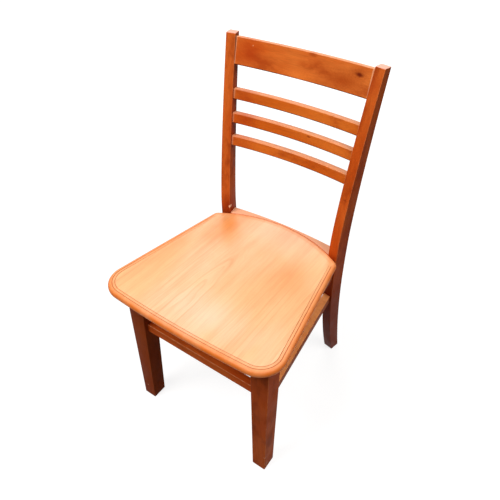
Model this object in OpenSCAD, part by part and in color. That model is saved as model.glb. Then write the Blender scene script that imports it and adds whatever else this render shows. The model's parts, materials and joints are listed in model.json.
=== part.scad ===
// Wooden dining chair with a ladder back and a panel seat.
// Millimetres, +Z up. The front of the chair faces -Y and its right side is +X.
// The origin is on the floor, under the middle of the chair's outline.

/* [Overall] */
// Height of the posts' tops above the floor
chair_h = 904; // [880:1:930]
// Height of the seat's top above the floor
seat_h = 450; // [430:1:465]
// Distance from the front legs' faces to the rear legs' waist, front to back
leg_spacing_y = 342; // [330:1:360]

/* [Seat] */
// Width of the seat at its front corners
seat_front_w = 468; // [450:1:485]
// Width of the seat at its rear corners
seat_rear_w = 369.5; // [362:0.5:376]
// Thickness of the seat panel
seat_t = 18; // [16:0.5:22]
// How far the seat's nose stands out in front of the front legs
seat_overhang = 57.5; // [45:0.5:65]
// How far the front edge bows forward across its width
seat_front_bow = 10; // [8:0.5:22]
// How far the seat's rear edge reaches behind the rear legs' waist
seat_back_reach = 41.5; // [39:0.5:43]
// Radius of the seat's rear edge, seen from above
seat_rear_r = 330; // [328:1:350]
// Radius of the seat's front corners
seat_corner_r = 59; // [40:1:65]
// Radius of the seat's rear corners
seat_rear_corner_r = 17; // [12:1:20]
// How far the rounded nose runs in from the edge
nose_reach = 7; // [5:0.5:9]
// Distance from the seat's edge to its outer incised line
groove_inset = 9.5; // [9.5:0.5:12]
// Distance from the outer incised line to the inner one
groove_pitch = 6.5; // [4:0.5:10]
// Width of an incised line
groove_w = 1.4; // [0.8:0.1:2]
// Depth of an incised line
groove_depth = 1; // [0.5:0.1:1.5]

/* [Front legs] */
// Distance between the outer faces of the front legs
front_span = 405.5; // [394:0.5:414]
// Width of a front leg at its top
front_leg_w = 48.5; // [42:0.5:52]
// Width of a front leg at the floor
front_foot_w = 36; // [30:0.5:38]
// Depth of a front leg at its top
front_leg_d = 48; // [44:0.5:52]
// Depth of a front leg at the floor
front_foot_d = 40.5; // [34:0.5:44]

/* [Rear legs] */
// Distance between the outer faces of the rear legs at the waist
rear_span = 348; // [340:0.5:352]
// Angle that each rear leg is turned to face the middle of the back
leg_turn = 11.4; // [9:0.1:13]
// Height of the waist, where the leg's front face is furthest forward
waist_z = 488; // [475:1:500]
// How far the post leans back from the waist to its top
back_rake = 59; // [45:0.5:75]
// How far the foot sweeps back from the waist to the floor
foot_rake = 98; // [80:1:110]
// How far the foot tucks in from the waist to the floor
foot_tuck = 32; // [26:0.1:34]
// How far the post's top spreads out from the waist
post_splay = 5.7; // [0:0.1:9]
// Width of a rear leg at the waist
waist_w = 25; // [23:0.1:27]
// Width of a rear leg at the floor
rear_foot_w = 28.5; // [25:0.1:30]
// Width of a post at its top
post_top_w = 23.5; // [21:0.1:25]
// Depth of a rear leg at the waist
waist_d = 39.2; // [38:0.1:43]
// Depth of a rear leg at the floor
rear_foot_d = 30.5; // [27:0.1:34]
// Depth of a post at its top
post_top_d = 21; // [19.5:0.1:25]

/* [Back] */
// Height of the crest rail
crest_h = 62; // [50:0.5:68]
// Thickness of the crest rail
crest_t = 14.5; // [12:0.5:16]
// Distance from the posts' tops down to the crest rail
crest_drop = 7.5; // [3:0.5:10]
// Distance from the posts' inner front edges back to the crest rail
crest_inset = 1; // [1:0.5:3]
// Height of each slat
slat_h = 25; // [18:0.5:28]
// Thickness of each slat
slat_t = 20; // [15:0.5:20]
// Distance from the posts' inner front edges back to each slat
slat_inset = 5.5; // [4:0.5:5.5]
// Height of the gap between the crest rail and the upper slat
crest_gap = 54.5; // [48:0.5:60]
// Distance from one slat up to the next
slat_pitch = 57; // [52:0.5:60]
// How far the back's rails bow rearward between the posts
back_bow = 15.5; // [11:0.5:19]

/* [Rails] */
// Height of the aprons under the seat
apron_h = 60; // [50:1:68]
// Thickness of the front apron and of the side aprons
apron_t = 18; // [16:0.5:18]
// Distance from the front legs' faces back to the front apron and stretcher
front_setback = 12; // [8:0.5:13]
// Distance from the legs' outer faces in to the side aprons and stretchers
side_setback = 5; // [4:0.5:5.5]
// Height of the stretchers' tops above the floor
stretcher_z = 302; // [280:1:320]
// Height of a stretcher's section
stretcher_h = 24; // [20:0.5:28]
// Thickness of a stretcher
stretcher_t = 19; // [18:0.5:20]
// Distance from the rear legs' backs forward to the rear stretcher
rear_stretcher_setback = 6; // [5:0.5:7]

/* [Rear rail] */
// Thickness of the rear rail
rear_rail_t = 28; // [26:0.5:29]
// Distance from the waist's front faces back to the rear rail's back at the middle
rear_rail_back = 46; // [45:0.5:48]
// How far the rear rail bows rearward between the legs
rear_rail_bow = 9.5; // [7:0.5:10]
// Distance from the seat's top down to the rear rail's top
rear_rail_drop = 2; // [1:0.5:4]

/* [Joinery] */
// Length of an apron's or a stretcher's tenon
tenon_l = 13; // [10:0.5:13]
// Length of a slat's or the crest rail's tenon
slat_tenon_l = 11; // [8:0.5:12]
// Gap on each side of a tenon in its mortise
tenon_gap = 0.15; // [0.1:0.05:0.3]
// Gap between the seat and the pieces that it is let into
seat_gap = 0.4; // [0.3:0.1:0.6]
// Length of a corner block along each rail
block_l = 80; // [72:1:86]
// Height of a corner block
block_h = 28; // [22:1:34]
// Diameter of a wood screw's shank
screw_d = 4; // [3:0.5:4.5]
// Diameter of a wood screw's head
screw_head_d = 8; // [7:0.5:9]
// How far the seat screws reach into the seat
screw_bite = 14; // [10:0.5:16]

/* [Hidden] */

// Sides of the chair
LEFT = -1;
RIGHT = 1;

// Wood tones
POST_TONE = [0.72, 0.31, 0.10];
CREST_TONE = [0.80, 0.40, 0.15];
LEG_TONE = [0.50, 0.24, 0.12];
RAIL_TONE = [0.60, 0.27, 0.12];
SEAT_TONE = [0.98, 0.76, 0.52];
BLOCK_TONE = [0.78, 0.62, 0.42];
STEEL_TONE = [0.70, 0.70, 0.72];

// Steps along a curved outline, and facets of a full circle
LEG_STEPS = 22;
ARC_STEPS = 10;
NOSE_STEPS = 8;
ROUND = 48;
BIG_ROUND = 720;
// Powers of the curves that the rear leg follows from its waist to its ends
RAKE_UP = 1.37;
RAKE_DOWN = 1.95;
TUCK_DOWN = 1.5;
THIN_UP = 1.12;
THIN_DOWN = 3.9;
// Length that a cutter runs past what it cuts
PAST = 10;
// Half of a length that spans the whole chair
SPAN = 400;
// Soft arris on the slats and the crest rail
ARRIS = 1.5;
// Shoulders round the tenons, on their cheeks and on their edges
CHEEK = 5;
EDGE_SHOULDER = 8;
STRETCHER_SHOULDER = 4;
SLAT_SHOULDER = 4;
// Height of a screw's head and size of its cross slot
HEAD_H = 2.6;
SLOT_L = 4.4;
SLOT_W = 0.9;
SLOT_DEPTH = 1.4;
// Gap round a screw in the piece that it holds
SCREW_GAP = 0.1;
// Gap between a corner block and the leg's corner
BLOCK_GAP = 1;
// How far a corner block's outline runs into the rails before they are cut away
BLOCK_LAP = 8;
// Where the seat screws stand, in from a block's tip and out from the rail
SCREW_INSET = 28;
SCREW_OUT = 12;
// Diameter of a screw's point
POINT_D = 1;
// How far the diagonal screw reaches into the front leg
DIAGONAL_BITE = 18;
// Thickness of one slice of the seat's rounded edge
SLICE = 0.01;
// Least radius of an outline's corner
LEAST_R = 0.5;
// How far a bowed rail's body is drawn into the legs before they are cut from it
LAP = 10;
// Height over which a post's lean is measured
SLOPE_STEP = 1;

// Height of the seat's underside, on which the legs and aprons end
seat_under = seat_h - seat_t;

// Rear leg: place along its own axes, from the waist's outer front edge
function rise(z) = max(0, (z - waist_z) / (chair_h - waist_z));
function drop(z) = max(0, (waist_z - z) / waist_z);
function leg_front(z) = back_rake * pow(rise(z), RAKE_UP) + foot_rake * pow(drop(z), RAKE_DOWN);
function leg_outer(z) = post_splay * rise(z) - foot_tuck * pow(drop(z), TUCK_DOWN);
function leg_width(z) = waist_w + (post_top_w - waist_w) * rise(z) + (rear_foot_w - waist_w) * drop(z);
function leg_depth(z) = waist_d + (post_top_d - waist_d) * pow(rise(z), THIN_UP)
    + (rear_foot_d - waist_d) * pow(drop(z), THIN_DOWN);

// The rearmost corner of a rear foot, measured from the front legs' faces
foot_reach = leg_spacing_y + (foot_tuck + rear_foot_w) * sin(leg_turn)
    + (foot_rake + rear_foot_d) * cos(leg_turn);
// Places along Y, from the middle of the chair's outline
face_y = (seat_overhang - foot_reach) / 2;
nose_y = face_y - seat_overhang;
waist_y = face_y + leg_spacing_y;
waist_x = rear_span / 2;

// Rear leg: a point of its section at height z, across and back from the outer front edge
function leg_x(z, in = 0, back = 0) =
    waist_x + (leg_outer(z) - in) * cos(leg_turn) + (leg_front(z) + back) * sin(leg_turn);
function leg_y(z, in = 0, back = 0) =
    waist_y - (leg_outer(z) - in) * sin(leg_turn) + (leg_front(z) + back) * cos(leg_turn);

// Points of an arc from angle a0 to angle a1
function arc(centre, r, a0, a1, steps) =
    [for (i = [0:steps]) let (a = a0 + (a1 - a0) * i / steps) centre + r * [cos(a), sin(a)]];
// Radius of the arc that bows by b over a chord of half length c
function bow_r(c, b) = (c * c + b * b) / (2 * b);

// Seat outline: circles that touch each other, moved in by inset
corner_x = seat_front_w / 2 - seat_corner_r;
front_r = bow_r(seat_front_w / 2, seat_front_bow);
front_centre = [0, nose_y + front_r];
corner_centre = [corner_x, front_centre.y - sqrt(pow(front_r - seat_corner_r, 2) - pow(corner_x, 2))];
rear_centre = [0, waist_y + seat_back_reach - seat_rear_r];
rear_corner_x = seat_rear_w / 2 - seat_rear_corner_r;
rear_corner_centre = [
    rear_corner_x,
    rear_centre.y + sqrt(pow(seat_rear_r - seat_rear_corner_r, 2) - pow(rear_corner_x, 2)),
];
to_rear = rear_corner_centre - corner_centre;
side_angle = atan2(to_rear.y, to_rear.x) - acos((seat_corner_r - seat_rear_corner_r) / norm(to_rear));
front_angle = atan2(corner_centre.y - front_centre.y, corner_x);
rear_angle = atan2(rear_corner_centre.y - rear_centre.y, rear_corner_x);

function seat_half(inset) = concat(
    arc(front_centre, front_r - inset, -90, front_angle, ARC_STEPS),
    arc(corner_centre, seat_corner_r - inset, front_angle, side_angle, ARC_STEPS),
    arc(rear_corner_centre, max(LEAST_R, seat_rear_corner_r - inset), side_angle, rear_angle, ARC_STEPS),
    arc(rear_centre, seat_rear_r - inset, rear_angle, 90, ARC_STEPS)
);
function mirrored(points) = [for (i = [len(points) - 1:-1:0]) [-points[i].x, points[i].y]];
function seat_outline(inset) = concat(seat_half(inset), mirrored(seat_half(inset)));

// Draws its children on the right, or mirrored to the left
module on_side(side) {
    if (side == RIGHT) children();
    else mirror([1, 0, 0]) children();
}

// Rear legs

// One leg without its mortises: its side outline crossed with its front outline.
// As a cutter it is widened inward, so that its front face runs on past a rail's whole end,
// or carried forward, so that its inner face does.
module rear_leg_blank(widened = 0, forward = 0) {
    heights = [for (i = [0:LEG_STEPS]) chair_h * i / LEG_STEPS];
    upward = [for (z = heights) [leg_front(z) - forward, z]];
    downward = [for (i = [LEG_STEPS:-1:0]) let (z = heights[i]) [leg_front(z) + leg_depth(z), z]];
    outer = [for (z = heights) [leg_outer(z), z]];
    inner = [for (i = [LEG_STEPS:-1:0]) let (z = heights[i]) [leg_outer(z) - leg_width(z) - widened, z]];
    translate([waist_x, waist_y, 0])
        rotate([0, 0, -leg_turn])
            intersection() {
                rotate([90, 0, 90])
                    translate([0, 0, -SPAN])
                        linear_extrude(2 * SPAN) polygon(concat(upward, downward));
                rotate([90, 0, 0])
                    translate([0, 0, -SPAN])
                        linear_extrude(2 * SPAN) polygon(concat(outer, inner));
            }
}

module rear_leg(side) {
    color(POST_TONE)
        on_side(side)
            difference() {
                rear_leg_blank();
                crest_tenon(tenon_gap);
                for (i = [0:2]) slat_tenon(i, tenon_gap);
                side_tenons(tenon_gap);
                rear_rail_tenon(tenon_gap);
                rear_stretcher_bar(STRETCHER_SHOULDER, tenon_gap);
            }
}

// Front legs

// One leg without its mortises: straight outside, tapered inside and front to back
module front_leg_blank() {
    x = front_span / 2;
    lean = (front_leg_d - front_foot_d) / 2;
    across = [
        [x, 0], [x, seat_under],
        [x - front_leg_w, seat_under], [x - front_foot_w, 0],
    ];
    along = [
        [lean, 0], [lean + front_foot_d, 0],
        [front_leg_d, seat_under], [0, seat_under],
    ];
    intersection() {
        rotate([90, 0, 0])
            translate([0, 0, -SPAN])
                linear_extrude(2 * SPAN) polygon(across);
        translate([0, face_y, 0])
            rotate([90, 0, 90])
                linear_extrude(SPAN) polygon(along);
    }
}

module front_leg(side) {
    color(LEG_TONE)
        on_side(side)
            difference() {
                front_leg_blank();
                front_tenons(tenon_gap);
                side_tenons(tenon_gap);
                diagonal_screw_hole();
            }
}

// Rails between the legs

apron_top = seat_under;
function leg_inner_x(z) = front_span / 2 - front_foot_w - (front_leg_w - front_foot_w) * z / seat_under;
function front_leg_back(z) = face_y + (front_leg_d + front_foot_d) / 2
    + (front_leg_d - front_foot_d) / 2 * z / seat_under;

// A bar from leg to leg across the front, reduced by its shoulders where it is a tenon
module front_bar(top, h, t, cheek = 0, edge = 0, gap = 0) {
    half = leg_inner_x(top - h / 2) + tenon_l + gap;
    translate([-half, face_y + front_setback + cheek - gap, top - h + edge - gap])
        cube([2 * half, t - 2 * (cheek - gap), h - 2 * (edge - gap)]);
}

// Outer line of a rail down the right side at height z, from the front leg to the rear leg
function side_start(z) = [front_span / 2 - side_setback, front_leg_back(z)];
function side_run(z) = [leg_x(z) - side_setback, leg_y(z, leg_width(z) / 2)] - side_start(z);

// Places its children on that line, with +Y along it
module on_side_line(z) {
    start = side_start(z);
    run = side_run(z);
    translate([start.x, start.y, 0])
        rotate([0, 0, atan2(run.y, run.x) - 90]) children();
}

// A bar down the right side, reduced by its shoulders where it is a tenon
module side_bar(top, h, t, cheek = 0, edge = 0, gap = 0) {
    z = top - h / 2;
    reach = tenon_l + gap;
    on_side_line(z)
        translate([-t + cheek - gap, -reach, top - h + edge - gap])
            cube([t - 2 * (cheek - gap), norm(side_run(z)) + 2 * reach, h - 2 * (edge - gap)]);
}

// Cutters for the mortises of the apron and the stretcher at the front, and down a side
module front_tenons(gap) {
    front_bar(apron_top, apron_h, apron_t, CHEEK, EDGE_SHOULDER, gap);
    front_bar(stretcher_z, stretcher_h, stretcher_t, STRETCHER_SHOULDER, STRETCHER_SHOULDER, gap);
}

module side_tenons(gap) {
    side_bar(apron_top, apron_h, apron_t, CHEEK, EDGE_SHOULDER, gap);
    side_bar(stretcher_z, stretcher_h, stretcher_t, STRETCHER_SHOULDER, STRETCHER_SHOULDER, gap);
}

module front_rail(top, h, t, cheek, edge) {
    difference() {
        front_bar(top, h, t);
        front_leg_blank();
        mirror([1, 0, 0]) front_leg_blank();
    }
    front_bar(top, h, t, cheek, edge);
}

// All the room behind the right front leg's back face
module behind_front_leg() {
    rotate([90, 0, 90])
        linear_extrude(SPAN)
            polygon([
                [front_leg_back(0), 0], [SPAN, 0],
                [SPAN, chair_h], [front_leg_back(chair_h), chair_h],
            ]);
}

module side_rail(top, h, t, cheek, edge) {
    difference() {
        intersection() {
            side_bar(top, h, t);
            behind_front_leg();
        }
        rear_leg_blank(PAST);
    }
    side_bar(top, h, t, cheek, edge);
}

module front_apron() {
    color(RAIL_TONE) front_rail(apron_top, apron_h, apron_t, CHEEK, EDGE_SHOULDER);
}

module side_apron(side) {
    color(RAIL_TONE) on_side(side) side_rail(apron_top, apron_h, apron_t, CHEEK, EDGE_SHOULDER);
}

module front_stretcher() {
    color(RAIL_TONE)
        front_rail(stretcher_z, stretcher_h, stretcher_t, STRETCHER_SHOULDER, STRETCHER_SHOULDER);
}

module side_stretcher(side) {
    color(RAIL_TONE)
        on_side(side)
            side_rail(stretcher_z, stretcher_h, stretcher_t, STRETCHER_SHOULDER, STRETCHER_SHOULDER);
}

// Straight bar between the rear legs, set in from their backs
module rear_stretcher_bar(edge = 0, gap = 0) {
    z = stretcher_z - stretcher_h / 2;
    back = leg_y(z, leg_width(z), leg_depth(z)) - rear_stretcher_setback;
    half = leg_x(z, leg_width(z), leg_depth(z) / 2) + tenon_l + gap;
    translate([-half, back - stretcher_t + edge - gap, stretcher_z - stretcher_h + edge - gap])
        cube([2 * half, stretcher_t - 2 * (edge - gap), stretcher_h - 2 * (edge - gap)]);
}

module rear_stretcher() {
    color(RAIL_TONE) {
        difference() {
            rear_stretcher_bar();
            rear_leg_blank();
            mirror([1, 0, 0]) rear_leg_blank();
        }
        rear_stretcher_bar(STRETCHER_SHOULDER);
    }
}

// Rear rail: bowed, as tall as the seat is high, with a rebate that takes the seat's rear edge
rear_rail_top = seat_h - rear_rail_drop;
rear_rail_foot = seat_under - apron_h;
rear_rail_half = leg_x(seat_h, leg_width(seat_h));

// A bowed bar between the rear legs, set in from the rail's faces where it is a tenon
module rear_rail_bar(half, top, front = 0, back = 0, edge = 0) {
    r = bow_r(rear_rail_half, rear_rail_bow);
    y = waist_y + rear_rail_back;
    h = top - rear_rail_foot - 2 * edge;
    intersection() {
        translate([-half, y - r, rear_rail_foot])
            cube([2 * half, 2 * r, top]);
        translate([0, y - r, rear_rail_foot + edge])
            difference() {
                cylinder(h = h, r = r - back, $fn = BIG_ROUND);
                translate([0, 0, -PAST])
                    cylinder(h = h + 2 * PAST, r = r - rear_rail_t + front, $fn = BIG_ROUND);
            }
    }
}

// Its tenon is as thick as an apron's. It lies near the rail's back, clear of the side apron's
// tenon in the same leg, and below the rebate.
module rear_rail_tenon(gap = 0) {
    front = rear_rail_t - apron_t + CHEEK - gap;
    rear_rail_bar(rear_rail_half + tenon_l + gap, seat_under, front, CHEEK - gap, EDGE_SHOULDER - gap);
}

module rear_rail() {
    color(RAIL_TONE) {
        difference() {
            rear_rail_bar(rear_rail_half + LAP, rear_rail_top);
            rear_leg_blank(0, PAST);
            mirror([1, 0, 0]) rear_leg_blank(0, PAST);
            translate([0, 0, seat_under])
                linear_extrude(seat_t + PAST) polygon(seat_outline(-seat_gap));
        }
        rear_rail_tenon();
    }
}

// Back

// A board bowed rearward about a far centre in front of the chair, leaning with the posts
module bowed_board(z, h, t, inset, half, shoulder = 0) {
    r = bow_r(leg_x(z, leg_width(z)), back_bow);
    y = leg_y(z, leg_width(z)) + inset + back_bow;
    lean = atan2(leg_y(z + SLOPE_STEP) - leg_y(z), SLOPE_STEP);
    spread = asin(half / r);
    a = ARRIS;
    front = r + shoulder;
    back = r + t - shoulder;
    top = h / 2 - shoulder;
    translate([0, y, z])
        rotate([-lean, 0, 0])
            translate([0, -r, 0])
                rotate([0, 0, 90 - spread])
                    rotate_extrude(angle = 2 * spread, $fn = BIG_ROUND)
                        polygon([
                            [front + a, -top], [back - a, -top], [back, a - top], [back, top - a],
                            [back - a, top], [front + a, top], [front, top - a], [front, a - top],
                        ]);
}

module board_between_posts(z, h, t, inset) {
    difference() {
        bowed_board(z, h, t, inset, leg_x(z, leg_width(z)) + LAP);
        rear_leg_blank();
        mirror([1, 0, 0]) rear_leg_blank();
    }
}

crest_z = chair_h - crest_drop - crest_h / 2;
function slat_z(i) = chair_h - crest_drop - crest_h - crest_gap - slat_h / 2 - i * slat_pitch;

module crest_tenon(gap = 0) {
    bowed_board(crest_z, crest_h, crest_t, crest_inset,
        leg_x(crest_z, leg_width(crest_z)) + slat_tenon_l + gap, SLAT_SHOULDER - gap);
}

module slat_tenon(i, gap = 0) {
    z = slat_z(i);
    bowed_board(z, slat_h, slat_t, slat_inset,
        leg_x(z, leg_width(z)) + slat_tenon_l + gap, SLAT_SHOULDER - gap);
}

module crest_rail() {
    color(CREST_TONE) {
        board_between_posts(crest_z, crest_h, crest_t, crest_inset);
        crest_tenon();
    }
}

module slat(i) {
    color(POST_TONE) {
        board_between_posts(slat_z(i), slat_h, slat_t, slat_inset);
        slat_tenon(i);
    }
}

// Seat

// The panel with its rounded edge, before it is cut
module seat_blank() {
    hull()
        for (i = [0:NOSE_STEPS]) {
            a = -90 + 180 * i / NOSE_STEPS;
            z = seat_under + (seat_t - SLICE) * (1 + sin(a)) / 2;
            translate([0, 0, z])
                linear_extrude(SLICE) polygon(seat_outline(nose_reach * (1 - cos(a))));
        }
}

// An incised line that follows the front and the sides
module incised_line(inset) {
    stop_y = rear_corner_centre.y;
    translate([0, 0, seat_h - groove_depth])
        linear_extrude(groove_depth + PAST)
            intersection() {
                difference() {
                    polygon(seat_outline(inset));
                    polygon(seat_outline(inset + groove_w));
                }
                translate([-SPAN, stop_y - 2 * SPAN]) square(2 * SPAN);
            }
}

// Room for the rear legs where they pass the seat's rear corners
module leg_notch() {
    in = leg_outer(seat_h) - leg_outer(seat_under) + leg_width(seat_under) + seat_gap;
    translate([leg_x(seat_h), leg_y(seat_h), seat_under - PAST])
        rotate([0, 0, -leg_turn])
            translate([-in, -seat_gap, 0])
                cube([in + SPAN, SPAN, seat_t + 2 * PAST]);
}

module seat_panel() {
    color(SEAT_TONE)
        difference() {
            seat_blank();
            incised_line(groove_inset);
            incised_line(groove_inset + groove_pitch);
            leg_notch();
            mirror([1, 0, 0]) leg_notch();
            seat_screw_places() screw_hole(block_h, screw_bite + SCREW_GAP);
        }
}

// Corner blocks and screws

// The inner corner where the front apron meets the right side apron
front_corner = [front_span / 2 - side_setback - apron_t, face_y + front_setback + apron_t];
// The right front leg's inner corner at the height of the diagonal screw
diagonal_z = seat_under - block_h / 2;
front_leg_edge = [leg_inner_x(diagonal_z), front_leg_back(diagonal_z)];
// The right rear leg's inner front corner at the same height
rear_leg_edge = [leg_x(diagonal_z, leg_width(diagonal_z)), leg_y(diagonal_z, leg_width(diagonal_z))];
// The inner corner where the rear rail meets the right side apron
rear_corner = [
    leg_x(seat_under) - side_setback - apron_t,
    waist_y + rear_rail_back - rear_rail_bow - rear_rail_t,
];

// A block across the right corner at one end; turn is 1 at the front and -1 at the rear.
// Its long side faces the seat's middle, and its short side clears the leg's corner.
module corner_brace(corner, leg_edge, turn) {
    lap = BLOCK_LAP;
    reach = leg_edge - corner;
    short = turn * reach.y - reach.x + BLOCK_GAP * sqrt(2) + lap;
    translate([corner.x, corner.y, seat_under - block_h])
        linear_extrude(block_h)
            polygon([
                [-block_l, -turn * lap], [-short, -turn * lap],
                [lap, turn * short], [lap, turn * block_l],
            ]);
}

// The same block, ended on the side apron's inner face
module fitted_brace(corner, leg_edge, turn) {
    intersection() {
        corner_brace(corner, leg_edge, turn);
        on_side_line(apron_top - apron_h / 2)
            translate([-apron_t - SPAN, -SPAN, 0])
                cube([SPAN, 2 * SPAN, apron_top]);
    }
}

module corner_block_front(side) {
    color(BLOCK_TONE)
        on_side(side)
            difference() {
                fitted_brace(front_corner, front_leg_edge, 1);
                front_bar(apron_top, apron_h, apron_t);
                right_seat_screw_places() sunk_screw_way();
                diagonal_screw_place() screw_way();
            }
}

module corner_block_rear(side) {
    color(BLOCK_TONE)
        on_side(side)
            difference() {
                fitted_brace(rear_corner, rear_leg_edge, -1);
                rear_rail_bar(rear_rail_half + LAP, rear_rail_top);
                right_seat_screw_places() sunk_screw_way();
            }
}

// Places its children at the seat screws' heads on the right, pointing up
module right_seat_screw_places() {
    z = seat_under - block_h;
    along = block_l - SCREW_INSET;
    for (at = [[-along, SCREW_OUT], [-SCREW_OUT, along]]) {
        translate([front_corner.x + at.x, front_corner.y + at.y, z]) children();
        translate([rear_corner.x + at.x, rear_corner.y - at.y, z]) children();
    }
}

module seat_screw_places() {
    right_seat_screw_places() children();
    mirror([1, 0, 0]) right_seat_screw_places() children();
}

// Places its children at the right front block's diagonal screw, pointing into the leg
long_side = front_corner + [-block_l, -BLOCK_LAP] - front_leg_edge;
diagonal_l = (long_side.y - long_side.x) / sqrt(2);
module diagonal_screw_place() {
    translate([front_leg_edge.x, front_leg_edge.y, diagonal_z])
        rotate([0, 0, 135])
            translate([diagonal_l, 0, 0])
                rotate([0, -90, 0]) children();
}

module diagonal_screw_hole() {
    diagonal_screw_place() screw_hole(diagonal_l, DIAGONAL_BITE + SCREW_GAP);
}

// The way for a screw through a block
module screw_way() {
    translate([0, 0, -PAST])
        cylinder(h = block_h + 2 * PAST, d = screw_d + 2 * SCREW_GAP, $fn = ROUND);
}

// The same way, countersunk for the head
module sunk_screw_way() {
    screw_way();
    cylinder(h = HEAD_H, d1 = screw_head_d, d2 = screw_d, $fn = ROUND);
}

// A hole that goes on from a block into the piece behind it
module screw_hole(grip, bite) {
    cylinder(h = grip + bite, d = screw_d + 2 * SCREW_GAP, $fn = ROUND);
}

// A screw's shank and point, from the origin up
module shank(l) {
    cylinder(h = l - screw_d, d = screw_d, $fn = ROUND);
    translate([0, 0, l - screw_d])
        cylinder(h = screw_d, d1 = screw_d, d2 = POINT_D, $fn = ROUND);
}

// The cross slot in a head whose outer face is at the origin
module cross_slot() {
    for (a = [0, 90])
        rotate([0, 0, a])
            translate([-SLOT_L / 2, -SLOT_W / 2, -PAST])
                cube([SLOT_L, SLOT_W, PAST + SLOT_DEPTH]);
}

// A countersunk screw, its head's face at the origin and its point up
module sunk_screw(l) {
    difference() {
        union() {
            cylinder(h = HEAD_H, d1 = screw_head_d, d2 = screw_d, $fn = ROUND);
            shank(l);
        }
        cross_slot();
    }
}

// A screw whose flat-backed head rests on a block's face at the origin
module faced_screw(l) {
    difference() {
        union() {
            translate([0, 0, -HEAD_H]) cylinder(h = HEAD_H, d = screw_head_d, $fn = ROUND);
            shank(l);
        }
        translate([0, 0, -HEAD_H]) cross_slot();
    }
}

module seat_screws() {
    color(STEEL_TONE) seat_screw_places() sunk_screw(block_h + screw_bite);
}

module corner_block_screws() {
    color(STEEL_TONE)
        for (side = [LEFT, RIGHT])
            on_side(side) diagonal_screw_place() faced_screw(diagonal_l + DIAGONAL_BITE);
}

rear_leg(LEFT);  // rear_leg_left
rear_leg(RIGHT);  // rear_leg_right
front_leg(LEFT);  // front_leg_left
front_leg(RIGHT);  // front_leg_right
seat_panel();
crest_rail();
slat(0);  // slat_upper
slat(1);  // slat_middle
slat(2);  // slat_lower
front_apron();
side_apron(LEFT);  // side_apron_left
side_apron(RIGHT);  // side_apron_right
rear_rail();
front_stretcher();
side_stretcher(LEFT);  // side_stretcher_left
side_stretcher(RIGHT);  // side_stretcher_right
rear_stretcher();
corner_block_front(LEFT);  // corner_block_front_left
corner_block_front(RIGHT);  // corner_block_front_right
corner_block_rear(LEFT);  // corner_block_rear_left
corner_block_rear(RIGHT);  // corner_block_rear_right
seat_screws();
corner_block_screws();
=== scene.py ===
"""Looks of the wooden dining chair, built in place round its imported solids."""

from __future__ import annotations

import json
import logging
import math
from dataclasses import dataclass
from enum import Enum
from typing import Any, Iterable, NamedTuple, Sequence

import bmesh
import bpy
import numpy as np
from mathutils import Matrix, Vector

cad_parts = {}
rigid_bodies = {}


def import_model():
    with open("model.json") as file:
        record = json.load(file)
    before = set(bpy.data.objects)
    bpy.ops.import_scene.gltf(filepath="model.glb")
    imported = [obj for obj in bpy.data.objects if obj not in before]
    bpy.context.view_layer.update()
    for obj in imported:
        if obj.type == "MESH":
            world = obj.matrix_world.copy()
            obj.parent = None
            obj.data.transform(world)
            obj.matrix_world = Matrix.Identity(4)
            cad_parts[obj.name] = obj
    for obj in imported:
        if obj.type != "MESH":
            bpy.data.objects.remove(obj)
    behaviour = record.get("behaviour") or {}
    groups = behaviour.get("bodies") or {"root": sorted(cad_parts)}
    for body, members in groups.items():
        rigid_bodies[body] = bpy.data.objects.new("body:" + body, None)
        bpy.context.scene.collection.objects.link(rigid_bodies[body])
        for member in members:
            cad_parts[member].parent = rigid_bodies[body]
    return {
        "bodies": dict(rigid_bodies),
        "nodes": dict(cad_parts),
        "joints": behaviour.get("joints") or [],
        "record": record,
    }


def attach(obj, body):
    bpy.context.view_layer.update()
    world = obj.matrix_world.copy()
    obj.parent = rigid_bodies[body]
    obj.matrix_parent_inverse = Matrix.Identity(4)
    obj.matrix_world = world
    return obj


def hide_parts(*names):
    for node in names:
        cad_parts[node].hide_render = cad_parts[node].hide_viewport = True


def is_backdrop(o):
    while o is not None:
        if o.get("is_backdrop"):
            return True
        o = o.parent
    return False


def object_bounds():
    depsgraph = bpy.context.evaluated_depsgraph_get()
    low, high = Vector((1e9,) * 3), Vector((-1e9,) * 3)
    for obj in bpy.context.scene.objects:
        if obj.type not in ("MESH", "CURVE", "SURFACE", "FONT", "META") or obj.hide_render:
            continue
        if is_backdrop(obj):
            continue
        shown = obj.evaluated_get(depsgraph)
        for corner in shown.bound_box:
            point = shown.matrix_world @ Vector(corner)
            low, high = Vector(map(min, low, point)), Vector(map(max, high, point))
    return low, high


LOG = logging.getLogger("dining_chair")
BODY = "root"
SAME = 1e-6  # metres below which two places are one
SHARP = 50.0  # degrees past which an edge stays sharp
MOST_OF_SIDE = 0.45  # share of a side that a rounded corner may take
CORNER_POINTS = 6  # points of a rounded corner
Colour = tuple[float, float, float, float]
Point = tuple[float, float, float]
WHITE: Colour = (1.0, 1.0, 1.0, 1.0)


def srgb(red: int, green: int, blue: int) -> Colour:
    """Turn a colour written in 0 to 255 into the linear values that a shader takes.

    Args:
        red: Red, as it is written.
        green: Green, as it is written.
        blue: Blue, as it is written.

    Returns:
        The linear colour with full alpha.
    """
    linear = [
        c / 255 / 12.92 if c <= 10 else ((c / 255 + 0.055) / 1.055) ** 2.4
        for c in (red, green, blue)
    ]
    return (*linear, 1.0)


class Side(Enum):
    """Side of the chair, as a factor of X."""

    LEFT = -1
    RIGHT = 1


class Grain(Enum):
    """Axis that the grain of a piece runs along."""

    ACROSS = 0
    DEEP = 1
    UP = 2


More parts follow.
